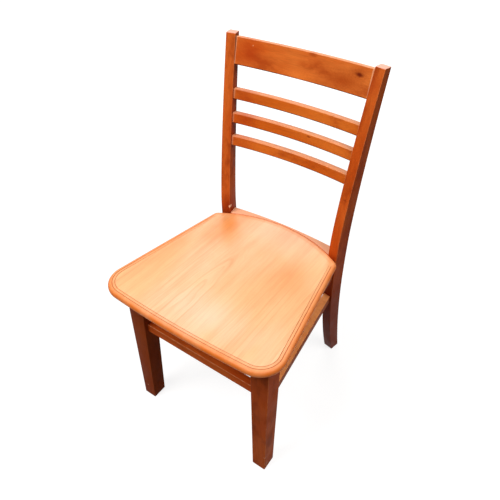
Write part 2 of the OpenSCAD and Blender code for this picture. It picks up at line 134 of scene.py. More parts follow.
class Graph:
    """Adds nodes to a shader tree or a geometry tree and links them."""

    def __init__(self, tree: bpy.types.NodeTree) -> None:
        """Start on an emptied tree."""
        self.tree = tree
        tree.nodes.clear()

    def add(
        self, kind: str, inputs: dict[Any, Any] | None = None, out: int | str = 0, **settings: Any
    ) -> Any:
        """Add one node.

        Args:
            kind: Type of the node.
            inputs: Socket name or number to a value or to another node's output.
            out: Name or number of the output to hand back.
            settings: Properties of the node.

        Returns:
            The chosen output socket, or the node where it has none.
        """
        node = self.tree.nodes.new(kind)
        for name, value in settings.items():
            setattr(node, name, value)
        for key, value in (inputs or {}).items():
            self.feed(node.inputs[key], value)
        return node.outputs[out] if len(node.outputs) else node

    def feed(self, socket: bpy.types.NodeSocket, value: Any) -> None:
        """Link a socket to another node's output, or set its value.

        Args:
            socket: Input to feed.
            value: Output socket or plain value.
        """
        if isinstance(value, bpy.types.NodeSocket):
            self.tree.links.new(value, socket)
        else:
            socket.default_value = value

    def math(self, operation: str, a: Any, b: Any = 0.0, clamp: bool = False) -> Any:
        """Add a Math node and return its value."""
        return self.add("ShaderNodeMath", {0: a, 1: b}, operation=operation, use_clamp=clamp)

    def vector(self, operation: str, a: Any, b: Any = (0.0, 0.0, 0.0)) -> Any:
        """Add a Vector Math node and return its vector, or its number for a length."""
        out = "Value" if operation == "LENGTH" else "Vector"
        return self.add("ShaderNodeVectorMath", {0: a, 1: b}, out, operation=operation)

    def split(self, vector: Any) -> Any:
        """Return the coordinates of a vector, by name."""
        return self.add("ShaderNodeSeparateXYZ", {0: vector}).node.outputs

    def remap(
        self, value: Any, low: float, high: float, to_low: float = 0.0, to_high: float = 1.0
    ) -> Any:
        """Spread a value smoothly from one range over another.

        Args:
            value: Output to spread.
            low: Value that becomes to_low.
            high: Value that becomes to_high.
            to_low: New value at low.
            to_high: New value at high.

        Returns:
            The new value's output.
        """
        spread = {"Value": value, 1: low, 2: high, 3: to_low, 4: to_high}
        return self.add("ShaderNodeMapRange", spread, interpolation_type="SMOOTHSTEP")

    def noise(self, vector: Any, scale: float, detail: float = 2.0, rough: float = 0.5) -> Any:
        """Add a Noise texture and return its value.

        Args:
            vector: Coordinates.
            scale: Scale of the noise.
            detail: Number of finer layers.
            rough: Share of the finer layers.

        Returns:
            The noise's value, from 0 to 1.
        """
        values = {"Vector": vector, "Scale": scale, "Detail": detail, "Roughness": rough}
        return self.add("ShaderNodeTexNoise", values)


class ShaderGraph(Graph):
    """Tree of a new material, whose patterns lie on Object coordinates."""

    def __init__(self, name: str) -> None:
        """Start a material of this name."""
        self.material = bpy.data.materials.new(name)
        self.material.use_nodes = True
        super().__init__(self.material.node_tree)
        self.spot = self.add("ShaderNodeTexCoord", out="Object")

    def attribute(self, name: str) -> Any:
        """Return a value that the mesh carries on its points."""
        return self.add("ShaderNodeAttribute", out="Fac", attribute_name=name)

    def line_noise(self, value: Any, scale: float) -> Any:
        """Add a Noise texture along one number and return its value, from 0 to 1."""
        values = {"W": value, "Scale": scale, "Detail": 1.0}
        return self.add("ShaderNodeTexNoise", values, noise_dimensions="1D")

    def mix(self, share: Any, a: Any, b: Any, blend: str = "MIX") -> Any:
        """Mix two colours.

        Args:
            share: Share of the second colour, a number or an output.
            a: First colour.
            b: Second colour.
            blend: How the colours blend.

        Returns:
            The mixed colour's output.
        """
        values = {0: share, 6: a, 7: b}
        return self.add("ShaderNodeMix", values, 2, data_type="RGBA", blend_type=blend)

    def lay(self, colour: Any, tone: Any, share: Any, most: float) -> Any:
        """Lay a tone over a colour.

        Args:
            colour: Colour so far.
            tone: Tone that goes over it.
            share: How much of the tone shows, from 0 to 1.
            most: Factor on that share.

        Returns:
            The mixed colour's output.
        """
        return self.mix(self.math("MULTIPLY", share, most), colour, tone)

    def finish(
        self, values: dict[str, Any], height: Any, strength: float, depth: float
    ) -> bpy.types.Material:
        """End the tree in a Principled surface with a fine relief.

        Args:
            values: Inputs of the Principled shader.
            height: Height of the relief, from 0 to 1.
            strength: Strength of the relief.
            depth: Height in metres that 1 stands for.

        Returns:
            The material.
        """
        relief = {"Strength": strength, "Distance": depth, "Height": height}
        values = {**values, "Normal": self.add("ShaderNodeBump", relief)}
        shader = self.add("ShaderNodeBsdfPrincipled", values)
        self.add("ShaderNodeOutputMaterial", {"Surface": shader})
        return self.material


class GeometryGraph(Graph):
    """Geometry tree with named inputs, which ends in real geometry with its material."""

    def __init__(self, name: str, **inputs: Sequence[str]) -> None:
        """Start a tree.

        Args:
            name: Name of the tree.
            inputs: Kind of socket to the names of the inputs of that kind.
        """
        super().__init__(bpy.data.node_groups.new(name, "GeometryNodeTree"))
        sockets = self.tree.interface
        for kind, titles in inputs.items():
            for title in titles:
                sockets.new_socket(title, in_out="INPUT", socket_type=f"NodeSocket{kind}")
        sockets.new_socket("Geometry", in_out="OUTPUT", socket_type="NodeSocketGeometry")
        self.given = self.tree.nodes.new("NodeGroupInput").outputs

    def store(self, geometry: Any, name: str, value: Any) -> Any:
        """Keep a value on the points of a geometry.

        Args:
            geometry: The geometry.
            name: Name of the attribute.
            value: Its value.

        Returns:
            The geometry with the attribute.
        """
        values = {"Geometry": geometry, "Name": name, "Value": value}
        kind = "GeometryNodeStoreNamedAttribute"
        return self.add(kind, values, data_type="FLOAT", domain="POINT")

    def stored(self, name: str, kind: str = "FLOAT") -> Any:
        """Return an attribute of the geometry's points."""
        return self.add("GeometryNodeInputNamedAttribute", {"Name": name}, data_type=kind)

    def moved(self, geometry: Any, **how: Any) -> Any:
        """Move or turn a geometry by a Translation or a Rotation."""
        return self.add("GeometryNodeTransform", {"Geometry": geometry, **how})

    def close(self, geometry: Any, material: Any) -> bpy.types.NodeTree:
        """Make the geometry real, give it its material and hand it out.

        Args:
            geometry: The geometry.
            material: Its material.

        Returns:
            The finished tree.
        """
        real = self.add("GeometryNodeRealizeInstances", {"Geometry": geometry})
        dressed = self.add("GeometryNodeSetMaterial", {"Geometry": real, "Material": material})
        self.feed(self.tree.nodes.new("NodeGroupOutput").inputs["Geometry"], dressed)
        return self.tree


@dataclass(frozen=True)
class Mark:
    """A knot, fleck, chip, scuff, patch of painted shade or patch of painted sheen: an ellipsoid
    of another tone at a place on the chair.

    The strength is that at its middle, ragged is how uneven its edge is, and soft is the share
    of it that fades out.
    """

    at: Point
    reach: Point
    tone: Colour
    strength: float = 0.8
    ragged: float = 0.5
    soft: float = 0.7

    def laid(self, graph: ShaderGraph, colour: Any, uneven: Any) -> Any:
        """Lay the mark over a colour.

        Args:
            graph: Tree that is being built.
            colour: Colour so far.
            uneven: Noise that makes the edge ragged.

        Returns:
            The colour with the mark.
        """
        offset = graph.vector("SUBTRACT", graph.spot, self.at)
        length = graph.vector("LENGTH", graph.vector("DIVIDE", offset, self.reach))
        length = graph.math("ADD", length, graph.math("MULTIPLY", uneven, self.ragged))
        edge = 1.0 + self.ragged / 2
        inside = graph.remap(length, edge * (1.0 - self.soft), edge, self.strength, 0.0)
        return graph.mix(inside, colour, self.tone)


@dataclass(frozen=True)
class PaintedBoardEdges:
    """Where along a board the painted highlight at its ends lies, and how far up its face the
    painted shade of its lower edge goes.

    Each pair is the value of the reach attribute, or of the attribute of the lower edge, at which
    the mark begins, and the one at which it is full. Reach runs from -1 at the left post to 1 at
    the right one.
    """

    right_end: tuple[float, float] = (0.988, 0.992)
    left_end: tuple[float, float] = (-0.978, -0.982)
    end_highlight: float = 0.42
    seam: tuple[float, float] = (-0.988, -0.991)
    lower_shade: tuple[float, float] = (0.72, 0.86)
    lower_shade_share: float = 0.85


PAINTED_BOARD_EDGES = PaintedBoardEdges()


@dataclass(frozen=True)
class StainedWood:
    """Stained wood under satin lacquer: clouded, with growth rings, fibres, scuffed arrises with
    painted highlights, and painted shade.
    """

    name: str
    slot: str
    grain: Grain
    tone: Colour
    cloud: Colour
    deep: Colour
    # Pale colour of scuffed arrises, which also paints highlights on arrises, board ends and lit
    # tops.
    worn_and_lit: Colour
    shadow: Colour = srgb(72, 26, 12)
    cloud_size: float = 11.0
    deep_share: float = 0.55
    ring_share: float = 0.22
    ring_count: float = 130.0
    fibre_share: float = 0.1
    pith: Point = (0.02, 0.03, 0.05)
    tilt: Point = (0.05, 0.04, 0.03)
    roughness: float = 0.42
    specular: float = 0.012
    coat: float = 0.0
    # Share of that pale colour on the arrises: part scuffing, part painted highlight.
    wear_and_sheen: float = 0.4
    wear_and_sheen_least: float = 0.25
    seam: float = 0.0
    relief: float = 0.00005
    marks: tuple[Mark, ...] = ()

    def stretch(self, graph: ShaderGraph, vector: Any, along: float) -> Any:
        """Scale coordinates along the grain.

        Args:
            graph: Tree that is being built.
            vector: Coordinates.
            along: Factor along the grain.

        Returns:
            The scaled coordinates.
        """
        scale = [1.0] * 3
        scale[self.grain.value] = along
        return graph.add("ShaderNodeMapping", {"Vector": vector, "Scale": scale})

    def layer(
        self, graph: ShaderGraph, along: float, scale: float, detail: float, rough: float = 0.5
    ) -> Any:
        """Noise that is drawn out along the grain.

        Args:
            graph: Tree that is being built.
            along: Factor along the grain, below 1 to draw it out.
            scale: Scale across the grain.
            detail: Number of finer layers.
            rough: Share of the finer layers.

        Returns:
            The noise's value, from 0 to 1.
        """
        return graph.noise(self.stretch(graph, graph.spot, along), scale, detail, rough)

    def rings(self, graph: ShaderGraph) -> Any:
        """Growth rings of uneven width round a pith that lies askew, so that they arch.

        Args:
            graph: Tree that is being built.

        Returns:
            How dark the late wood is, from 0 to 1.
        """
        askew = {"Vector": graph.spot, "Location": self.pith, "Rotation": self.tilt}
        turned = graph.add("ShaderNodeMapping", askew)
        radius = graph.vector("LENGTH", self.stretch(graph, turned, 0.0))
        sway = self.layer(graph, along=0.22, scale=16.0, detail=3.0, rough=0.55)
        radius = graph.math("ADD", radius, graph.math("MULTIPLY", sway, 0.022))
        wide = graph.remap(graph.line_noise(radius, self.ring_count), 0.5, 0.72)
        fine = graph.remap(graph.line_noise(radius, self.ring_count * 3.6), 0.52, 0.7)
        fade = self.layer(graph, along=0.3, scale=14.0, detail=2.0)
        fade = graph.remap(fade, 0.34, 0.62, 0.25, 1.0)
        wide, fine = graph.math("MULTIPLY", wide, 0.6), graph.math("MULTIPLY", fine, 0.55)
        return graph.math("MULTIPLY", graph.math("ADD", wide, fine), fade, clamp=True)

    def ground(self, graph: ShaderGraph) -> Any:
        """Stain before the grain: the tone, clouds of a lighter one and soft darker patches.

        Args:
            graph: Tree that is being built.

        Returns:
            The colour.
        """
        cloud = self.layer(graph, along=0.45, scale=self.cloud_size, detail=3.0)
        colour = graph.mix(graph.remap(cloud, 0.38, 0.62), self.tone, self.cloud)
        size = self.cloud_size * 2.3
        patch = self.layer(graph, along=0.5, scale=size, detail=4.0, rough=0.6)
        return graph.mix(graph.remap(patch, 0.46, 0.7, 0.0, self.deep_share), colour, self.deep)

    def figure(self, graph: ShaderGraph) -> tuple[Any, Any]:
        """Stain with its growth rings, streaks, fibres and pores.

        Args:
            graph: Tree that is being built.

        Returns:
            The colour, and the height of the grain's relief.
        """
        streak = self.layer(graph, along=0.06, scale=90.0, detail=3.0, rough=0.6)
        fibre = self.layer(graph, along=0.03, scale=700.0, detail=3.0, rough=0.65)
        pores = self.layer(graph, along=0.07, scale=1300.0, detail=1.0)
        pores = graph.remap(pores, 0.64, 0.76)
        late = self.rings(graph)
        share = self.ring_share
        colour = graph.lay(self.ground(graph), self.deep, late, share)
        colour = graph.lay(colour, self.deep, graph.remap(streak, 0.35, 0.7), share * 0.7)
        darkest, lightest = 1.0 - self.fibre_share, 1.0 + 0.6 * self.fibre_share
        fibres = graph.remap(fibre, 0.25, 0.75, darkest, lightest)
        colour = graph.mix(1.0, colour, fibres, "MULTIPLY")
        colour = graph.lay(colour, self.deep, pores, share * 0.8)
        height = graph.math("SUBTRACT", fibre, graph.math("MULTIPLY", pores, 0.8))
        return colour, graph.math("SUBTRACT", height, graph.math("MULTIPLY", late, 0.3))

    def wear_and_painted_light(self, graph: ShaderGraph, colour: Any) -> Any:
        """Paint scuffs, highlights and shade on the wood where the mesh's attributes say so.

        Args:
            graph: Tree that is being built.
            colour: Colour of the grain.

        Returns:
            The colour with pale arrises, part scuffing and part painted highlight, painted
            highlights at the board ends, painted shade on side faces and lower edges, and the dark
            seam.
        """
        patchy = graph.noise(graph.spot, 60.0, 4.0, 0.6)
        patchy = graph.remap(patchy, 0.34, 0.62, self.wear_and_sheen_least, 1.0)
        # Pale arrises: part scuffing, part painted highlight.
        rubbed_and_lit = graph.math("MULTIPLY", graph.attribute("arris"), patchy)
        rubbed_and_lit = graph.math("MULTIPLY", rubbed_and_lit, self.wear_and_sheen, clamp=True)
        colour = graph.mix(rubbed_and_lit, colour, self.worn_and_lit)
        # Painted shade on the faces that the mesh marks.
        colour = graph.mix(graph.attribute("shade"), colour, self.shadow)
        # Painted highlight at both board ends; a dark line where the left end meets the post.
        reach = graph.attribute("reach")
        right, left = (graph.remap(reach, *end) for end in (PAINTED_BOARD_EDGES.right_end, PAINTED_BOARD_EDGES.left_end))
        colour = graph.lay(colour, self.worn_and_lit, graph.math("MAXIMUM", right, left), PAINTED_BOARD_EDGES.end_highlight)
        seam = graph.remap(reach, *PAINTED_BOARD_EDGES.seam, 0.0, self.seam)
        colour = graph.mix(seam, colour, self.shadow)
        # Painted shade along the lower edge of the boards.
        lower_shade = graph.remap(graph.attribute("lower_shade"), *PAINTED_BOARD_EDGES.lower_shade, 0.0, PAINTED_BOARD_EDGES.lower_shade_share)
        return graph.mix(lower_shade, colour, self.shadow)

    def trim(self, graph: ShaderGraph, colour: Any) -> Any:
        """Finish of this wood's own that goes over the grain; plain stained wood has none."""
        return colour

    def dulled(self, graph: ShaderGraph, smooth: Any) -> Any:
        """Roughness of the lacquer where it wears thin; plain stained wood keeps it even."""
        return smooth

    def gloss(self, graph: ShaderGraph) -> Any:
        """Specular level of the lacquer; plain stained wood keeps it even."""
        return self.specular

    def make(self) -> bpy.types.Material:
        """Build the material.

        Returns:
            The material, which reads Object coordinates and the mesh's own attributes alone.
        """
        graph = ShaderGraph(self.name)
        colour, height = self.figure(graph)
        colour = self.trim(graph, self.wear_and_painted_light(graph, colour))
        if self.marks:
            uneven = graph.noise(graph.spot, 320.0, 3.0)
            for mark in self.marks:
                colour = mark.laid(graph, colour, uneven)
        smoothest, roughest = self.roughness - 0.05, self.roughness + 0.07
        smooth = graph.remap(graph.noise(graph.spot, 30.0, 3.0), 0.3, 0.7, smoothest, roughest)
        values = {
            "Base Color": colour,
            "Roughness": self.dulled(graph, smooth),
            "Specular IOR Level": self.gloss(graph),
            "Coat Weight": self.coat,
            "Coat Roughness": 0.25,
        }
        return graph.finish(values, height, 0.5, self.relief)


@dataclass(frozen=True)
class SeatWood(StainedWood):
    """Pale honey wood of joined staves: orange patches, a darker nose and dark incised lines."""

    # Nose colour: partly the edge's own stain, partly painted shade where the nose turns from the
    # light.
    nose: Colour = srgb(232, 118, 38)
    line: Colour = srgb(194, 98, 46)
    stave: float = 0.094
    stave_share: float = 0.22
    lit_patches: tuple[Mark, ...] = ()

    def ground(self, graph: ShaderGraph) -> Any:
        """Honey field whose staves differ a little, with orange patches that follow the grain.

        Args:
            graph: Tree that is being built.

        Returns:
            The colour.
        """
        colour = super().ground(graph)
        board = graph.math("FLOOR", graph.math("DIVIDE", graph.split(graph.spot)["X"], self.stave))
        tint = graph.add(
            "ShaderNodeTexWhiteNoise", {"W": board}, "Value", noise_dimensions="1D"
        )
        colour = graph.lay(colour, self.cloud, tint, self.stave_share)
        uneven = self.layer(graph, along=0.2, scale=34.0, detail=4.0, rough=0.62)
        for patch in self.lit_patches:
            colour = patch.laid(graph, colour, uneven)
        return colour

    def trim(self, graph: ShaderGraph, colour: Any) -> Any:
        """Darken the nose, partly its own stain and partly painted shade, and the incised lines.

        Args:
            graph: Tree that is being built.
            colour: Colour of the field.

        Returns:
            The colour with the nose and the lines.
        """
        uneven = graph.remap(graph.noise(graph.spot, 26.0, 3.0), 0.3, 0.7, 0.8, 1.0)
        rim = graph.math("MULTIPLY", graph.attribute("nose"), uneven, clamp=True)
        colour = graph.mix(rim, colour, self.nose)
        return graph.mix(graph.attribute("line"), colour, self.line)

    def dulled(self, graph: ShaderGraph, smooth: Any) -> Any:
        """Roughness that rises round the nose, which hands and clothes have scuffed."""
        rim = graph.math("MULTIPLY", graph.attribute("nose"), 0.3)
        return graph.math("ADD", smooth, rim, clamp=True)

    def gloss(self, graph: ShaderGraph) -> Any:
        """Specular level that falls round the nose, where the lacquer wears thin."""
        rim = graph.attribute("nose")
        return graph.remap(rim, 0.0, 1.0, self.specular, 0.2 * self.specular)


@dataclass(frozen=True)
class SawnWood(StainedWood):
    """Pale softwood, sawn and left bare, for the blocks under the seat."""

    relief: float = 0.0003
    roughness: float = 0.7
    specular: float = 0.3
    ring_count: float = 220.0
    ring_share: float = 0.5


@dataclass(frozen=True)
class ZincSteel:
    """Zinc-plated steel of the wood screws: pale, brushed round the head and dulled in patches."""

    name: str = "zinc_screw_steel"
    slot: str = "screw_steel"
    bright: Colour = srgb(196, 198, 202)
    dull: Colour = srgb(150, 148, 142)

    def make(self) -> bpy.types.Material:
        """Build the material.

        Returns:
            The material.
        """
        graph = ShaderGraph(self.name)
        cloud = graph.remap(graph.noise(graph.spot, 420.0, 4.0, 0.6), 0.35, 0.65)
        values = {
            "Base Color": graph.mix(cloud, self.bright, self.dull),
            "Roughness": graph.remap(cloud, 0.0, 1.0, 0.28, 0.5),
            "Metallic": 1.0,
        }
        return graph.finish(values, graph.noise(graph.spot, 2600.0, 2.0), 0.3, 0.00003)


CREST_MARKS = (
    # Darker clouds at the right and the left, and a lighter one between them.
    Mark((0.1050, 0.1955, 0.8580), (0.075, 0.05, 0.034), srgb(170, 62, 12), 0.8, 0.5, 0.9),
    Mark((-0.1300, 0.1955, 0.8655), (0.060, 0.05, 0.060), srgb(188, 66, 20), 0.75, 0.5, 1.0),
    Mark((-0.0070, 0.2075, 0.8420), (0.070, 0.05, 0.018), srgb(246, 136, 56), 0.9, 0.5, 0.9),
    # The knot, in darker wood.
    Mark((0.1359, 0.1955, 0.8825), (0.034, 0.04, 0.016), srgb(160, 56, 12), 0.6, 0.4, 0.9),
    Mark((0.1375, 0.1955, 0.8790), (0.0135, 0.03, 0.0064), srgb(104, 26, 10), 0.95, 0.5, 0.7),
    # A smudge near the top edge, and a pale fleck.
    Mark((0.0226, 0.2075, 0.8916), (0.016, 0.03, 0.006), srgb(160, 56, 16), 0.6),
    Mark((-0.1231, 0.1977, 0.8842), (0.0016, 0.01, 0.0022), srgb(250, 200, 150), 0.85),
)
SLAT_MARKS = (
    # The darker left ends of all slats, and the dark mark on the middle one.
    Mark((-0.1300, 0.1800, 0.7100), (0.060, 0.08, 0.200), srgb(188, 66, 16), 0.75, 0.6, 1.0),
    Mark((0.0435, 0.1821, 0.7170), (0.008, 0.02, 0.0028), srgb(126, 38, 10), 0.75),
)
POST_MARKS = (
    # The left post: darker wood beside the seat, with a chip in it.
    Mark((-0.1600, 0.1400, 0.4400), (0.060, 0.10, 0.110), srgb(144, 50, 18), 0.7, 0.4, 0.9),
    Mark((-0.1509, 0.1377, 0.4690), (0.0024, 0.01, 0.0062), srgb(255, 216, 184), 1.0, 0.3, 0.5),
    # The right post: a dark mark halfway up, and a redder top.
    Mark((0.1674, 0.1457, 0.6119), (0.006, 0.02, 0.0035), srgb(130, 44, 14), 0.6),
    Mark((0.1700, 0.1900, 0.8700), (0.030, 0.05, 0.035), srgb(172, 56, 18), 0.7, 0.6, 1.0),
    # Both: painted shade on the legs below the seat, and painted sheen on their top faces.
    Mark((0.0, 0.2000, 0.0500), (0.600, 0.500, 0.420), srgb(128, 44, 12), 0.88, 0.1, 0.45),
    Mark((0.0, 0.2100, 0.9050), (0.400, 0.200, 0.0028), srgb(248, 184, 164), 0.95, 0.3, 0.4),
)
LEG_MARKS = (
    # Painted shade on the left front leg.
    Mark((-0.2000, -0.1900, 0.2000), (0.110, 0.200, 0.500), srgb(116, 46, 16), 0.6, 0.1, 0.5),
    # Scuffs on the feet.
    Mark((0.2012, -0.2060, 0.0565), (0.005, 0.006, 0.004), srgb(206, 136, 98), 0.9, 0.4, 0.7),
    Mark((-0.1882, -0.2075, 0.0421), (0.004, 0.006, 0.004), srgb(214, 134, 94), 0.9, 0.4, 0.7),
    Mark((0.2020, -0.1980, 0.0180), (0.004, 0.007, 0.016), srgb(200, 140, 104), 0.6),
)
# Painted sheen on the rear rail's top.
REAR_RAIL_MARKS = (
    Mark((0.0, 0.1600, 0.4500), (0.400, 0.200, 0.0085), srgb(244, 176, 138), 0.95, 0.2, 0.4),
)
# The seat's patches: at the left rear, the left, the right, the middle, the rear and the front.
SEAT_PATCHES = (
    Mark((-0.1150, 0.1000, 0.45), (0.080, 0.170, 0.05), srgb(244, 142, 58), 0.95, 0.6, 0.9),
    Mark((-0.1850, -0.0400, 0.45), (0.075, 0.210, 0.05), srgb(247, 160, 90), 0.9, 0.7, 1.0),
    Mark((0.1100, 0.0200, 0.45), (0.110, 0.110, 0.05), srgb(246, 156, 88), 0.85, 0.7, 1.0),
    Mark((0.0100, 0.0600, 0.45), (0.120, 0.080, 0.05), srgb(247, 166, 106), 0.75, 0.8, 1.0),
    Mark((0.0300, 0.1350, 0.45), (0.200, 0.090, 0.05), srgb(249, 174, 132), 0.85, 0.5, 1.0),
    Mark((0.0300, -0.1950, 0.45), (0.200, 0.090, 0.05), srgb(251, 212, 180), 0.8, 0.6, 1.0),
)


class Finishes:
    """The finishes of the chair, each made once."""

    def __init__(self) -> None:
        """Write down the finishes."""
        self.made: dict[str, bpy.types.Material] = {}
        # On the crest and the slats the pale colour also paints the sheen on the top faces and
        # upper arrises.
        self.crest = StainedWood(
            "crest_stained_wood", "crest_wood", Grain.ACROSS,
            tone=srgb(214, 96, 30), cloud=srgb(230, 124, 52),
            deep=srgb(164, 54, 10), worn_and_lit=srgb(255, 200, 160),
            pith=(0.0, 0.06, -0.83), specular=0.03, coat=0.02,
            wear_and_sheen=1.0, wear_and_sheen_least=0.75, seam=0.8, deep_share=0.65, marks=CREST_MARKS,
        )
        self.slat = StainedWood(
            "slat_stained_wood", "post_wood", Grain.ACROSS,
            tone=srgb(212, 100, 24), cloud=srgb(226, 118, 38),
            deep=srgb(162, 58, 12), worn_and_lit=srgb(255, 190, 144),
            pith=(0.01, 0.02, 0.07), specular=0.06, coat=0.03,
            wear_and_sheen=1.0, wear_and_sheen_least=0.75, deep_share=0.65, marks=SLAT_MARKS,
        )
        self.post = StainedWood(
            "post_stained_wood", "post_wood", Grain.UP,
            tone=srgb(206, 88, 26), cloud=srgb(218, 106, 40),
            deep=srgb(148, 48, 12), worn_and_lit=srgb(240, 148, 94),
            pith=(0.03, 0.02, 0.02), specular=0.018, deep_share=0.65, marks=POST_MARKS,
        )
        # Darker than the posts: partly a darker stain, partly painted shade.
        self.leg = StainedWood(
            "leg_stained_wood", "leg_wood", Grain.UP,
            tone=srgb(180, 76, 26), cloud=srgb(190, 88, 34),
            deep=srgb(116, 42, 12), worn_and_lit=srgb(226, 134, 82),
            pith=(0.02, 0.03, 0.02), roughness=0.46, wear_and_sheen=0.6, deep_share=0.65, marks=LEG_MARKS,
        )
        self.rail = StainedWood(
            "rail_stained_wood", "rail_wood", Grain.ACROSS,
            tone=srgb(216, 94, 32), cloud=srgb(228, 110, 42),
            deep=srgb(146, 52, 14), worn_and_lit=srgb(246, 176, 126), wear_and_sheen=0.95,
        )
        # Paler copy of the rail stain for the side bars, partly painted light; its pale colour
        # paints their lit tops.
        self.side_rail = StainedWood(
            "side_rail_stained_wood", "rail_wood", Grain.DEEP,
            tone=srgb(228, 112, 44), cloud=srgb(238, 126, 54),
            deep=srgb(168, 72, 28), worn_and_lit=srgb(255, 172, 104), wear_and_sheen=0.9, wear_and_sheen_least=0.7,
        )
        self.rear_rail = StainedWood(
            "rear_rail_stained_wood", "rail_wood", Grain.ACROSS,
            tone=srgb(206, 98, 40), cloud=srgb(216, 114, 56),
            deep=srgb(158, 60, 18), worn_and_lit=srgb(246, 190, 156), wear_and_sheen=0.5, marks=REAR_RAIL_MARKS,
        )
        self.seat = SeatWood(
            "seat_honey_wood", "seat_wood", Grain.DEEP,
            tone=srgb(249, 201, 154), cloud=srgb(247, 190, 134),
            deep=srgb(212, 128, 74), worn_and_lit=srgb(236, 160, 100),
            cloud_size=6.0, deep_share=0.12, ring_share=0.3, ring_count=150.0, fibre_share=0.05,
            pith=(0.03, 0.02, -0.41), tilt=(0.035, 0.0, 0.02),
            roughness=0.34, specular=0.34, coat=0.15, wear_and_sheen=0.2, lit_patches=SEAT_PATCHES,
        )
        self.block = SawnWood(
            "block_sawn_wood", "block_wood", Grain.ACROSS,
            tone=srgb(214, 178, 128), cloud=srgb(224, 192, 146),
            deep=srgb(170, 122, 74), worn_and_lit=srgb(232, 206, 166), wear_and_sheen=0.2,
        )
        self.screw = ZincSteel()

    def of(self, finish: StainedWood | ZincSteel) -> bpy.types.Material:
        """Return a finish's material, and make it the first time.

        Args:
            finish: The finish.

        Returns:
            Its material.
        """
        if finish.name not in self.made:
            self.made[finish.name] = finish.make()
        return self.made[finish.name]


class Workshop:
    """Turns outlines into pieces, dresses them and stands them for their CAD nodes."""

    def __init__(self, frame: dict[str, Any]) -> None:
        """Keep the loaded frame and the finishes.
        """
        self.nodes = frame["nodes"]
        self.finishes = Finishes()

    def piece(
        self, name: str, mesh: bpy.types.Mesh, finish: StainedWood | ZincSteel, *nodes: str
    ) -> None:
        """Put a finished mesh in the scene for the CAD nodes that it stands for.

        Args:
            name: Name of the piece.
            mesh: Mesh in the frame's coordinates.
            finish: Its finish.
            nodes: CAD nodes that it replaces.
        """
        obj = put(name, mesh)
        mesh.materials.clear()
        mesh.materials.append(self.finishes.of(finish))
        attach(obj, BODY)
        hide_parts(*nodes)
        LOG.info("%s: %d faces, stands for %s", name, len(mesh.polygons), ", ".join(nodes))

    def pairs(self, finish: StainedWood, meshes: dict[str, bpy.types.Mesh]) -> None:
        """Put right-hand meshes in the scene on both sides.

        Args:
            finish: Their finish.
            meshes: Name of each part, without its side, to its mesh.
        """
        for side in Side:
            for part, mesh in meshes.items():
                node = f"{part}_{side.name.lower()}"
                self.piece(f"{node}_wood", mirrored(mesh, side), finish, node)

    def dress(self, node: str, finish: StainedWood) -> None:
        """Give a CAD node that stays in view its finish.

        Args:
            node: Name of the node.
            finish: Its finish.
        """
        obj = self.nodes[node]
        obj.data.materials.clear()
        obj.data.materials.append(self.finishes.of(finish))
        LOG.info("%s: CAD node kept, %s", node, finish.name)


def rounded(
    corners: Sequence[tuple[float, float]], radii: float | Sequence[float]
) -> tuple[np.ndarray, np.ndarray]:
    """Round the corners of a flat outline that turns left.

    Args:
        corners: Corners of the outline.
        radii: Radius of every corner, or of each.

    Returns:
        The points, and how far each one stands on an arris, from 0 to 1.
    """
    points, arris = [], []
    outline = np.array(corners, float)
    shares = np.linspace(0.0, 1.0, CORNER_POINTS)
    weights = np.array([(1 - shares) ** 2, 2 * shares * (1 - shares) * math.sqrt(0.5), shares**2])
    weights /= weights.sum(axis=0)
    for i, radius in enumerate(np.broadcast_to(radii, len(outline))):
        here = outline[i]
        runs = outline[i - 1] - here, outline[(i + 1) % len(outline)] - here
        lengths = [np.linalg.norm(run) for run in runs]
        reach = min(radius, *(MOST_OF_SIDE * length for length in lengths))
        start, end = (here + run / length * reach for run, length in zip(runs, lengths))
        points.extend(weights.T @ np.array([start, here, end]))
        arris.extend(np.sin(math.pi * shares))
    return np.array(points), np.array(arris)


def boxed(
    low: tuple[float, float], high: tuple[float, float], radius: float
) -> tuple[np.ndarray, np.ndarray]:
    """Round the corners of a rectangle.

    Args:
        low: Its lowest corner.
        high: Its highest corner.
        radius: Radius of the corners.

    Returns:
        What rounded() gives.
    """
    return rounded([low, (high[0], low[1]), high, (low[0], high[1])], radius)


def on_sides(section: np.ndarray, width: float, inset: float) -> np.ndarray:
    """Find the points of a section that lie on its two side faces.

    Args:
        section: Points of the section, from 0 to its width.
        width: Its width.
        inset: How far its faces are set in.

    Returns:
        True for each point on a side face.
    """
    return np.abs(np.abs(section[:, 0] - width / 2) - (width / 2 - inset)) < SAME


def leg_stations(height: float, arris: float, levels: int) -> list[tuple[float, float, float]]:
    """Heights at which a leg's section is set, with rounded ends.

    Args:
        height: Height of the leg.
        arris: Radius of the rounded ends.
        levels: Number of plain heights.

    Returns:
        Height, inset and share of the arris of each section.
    """
    foot = []
    for angle in np.linspace(0.0, math.pi / 2, 7):
        rise, inset = arris * (1 - math.cos(angle)), arris * (1 - math.sin(angle))
        foot.append((rise, inset, math.sin(2 * angle)))
    plain = [(float(z), 0.0, 0.0) for z in np.linspace(arris, height - arris, levels)[1:-1]]
    return foot + plain + [(height - z, inset, share) for z, inset, share in reversed(foot)]


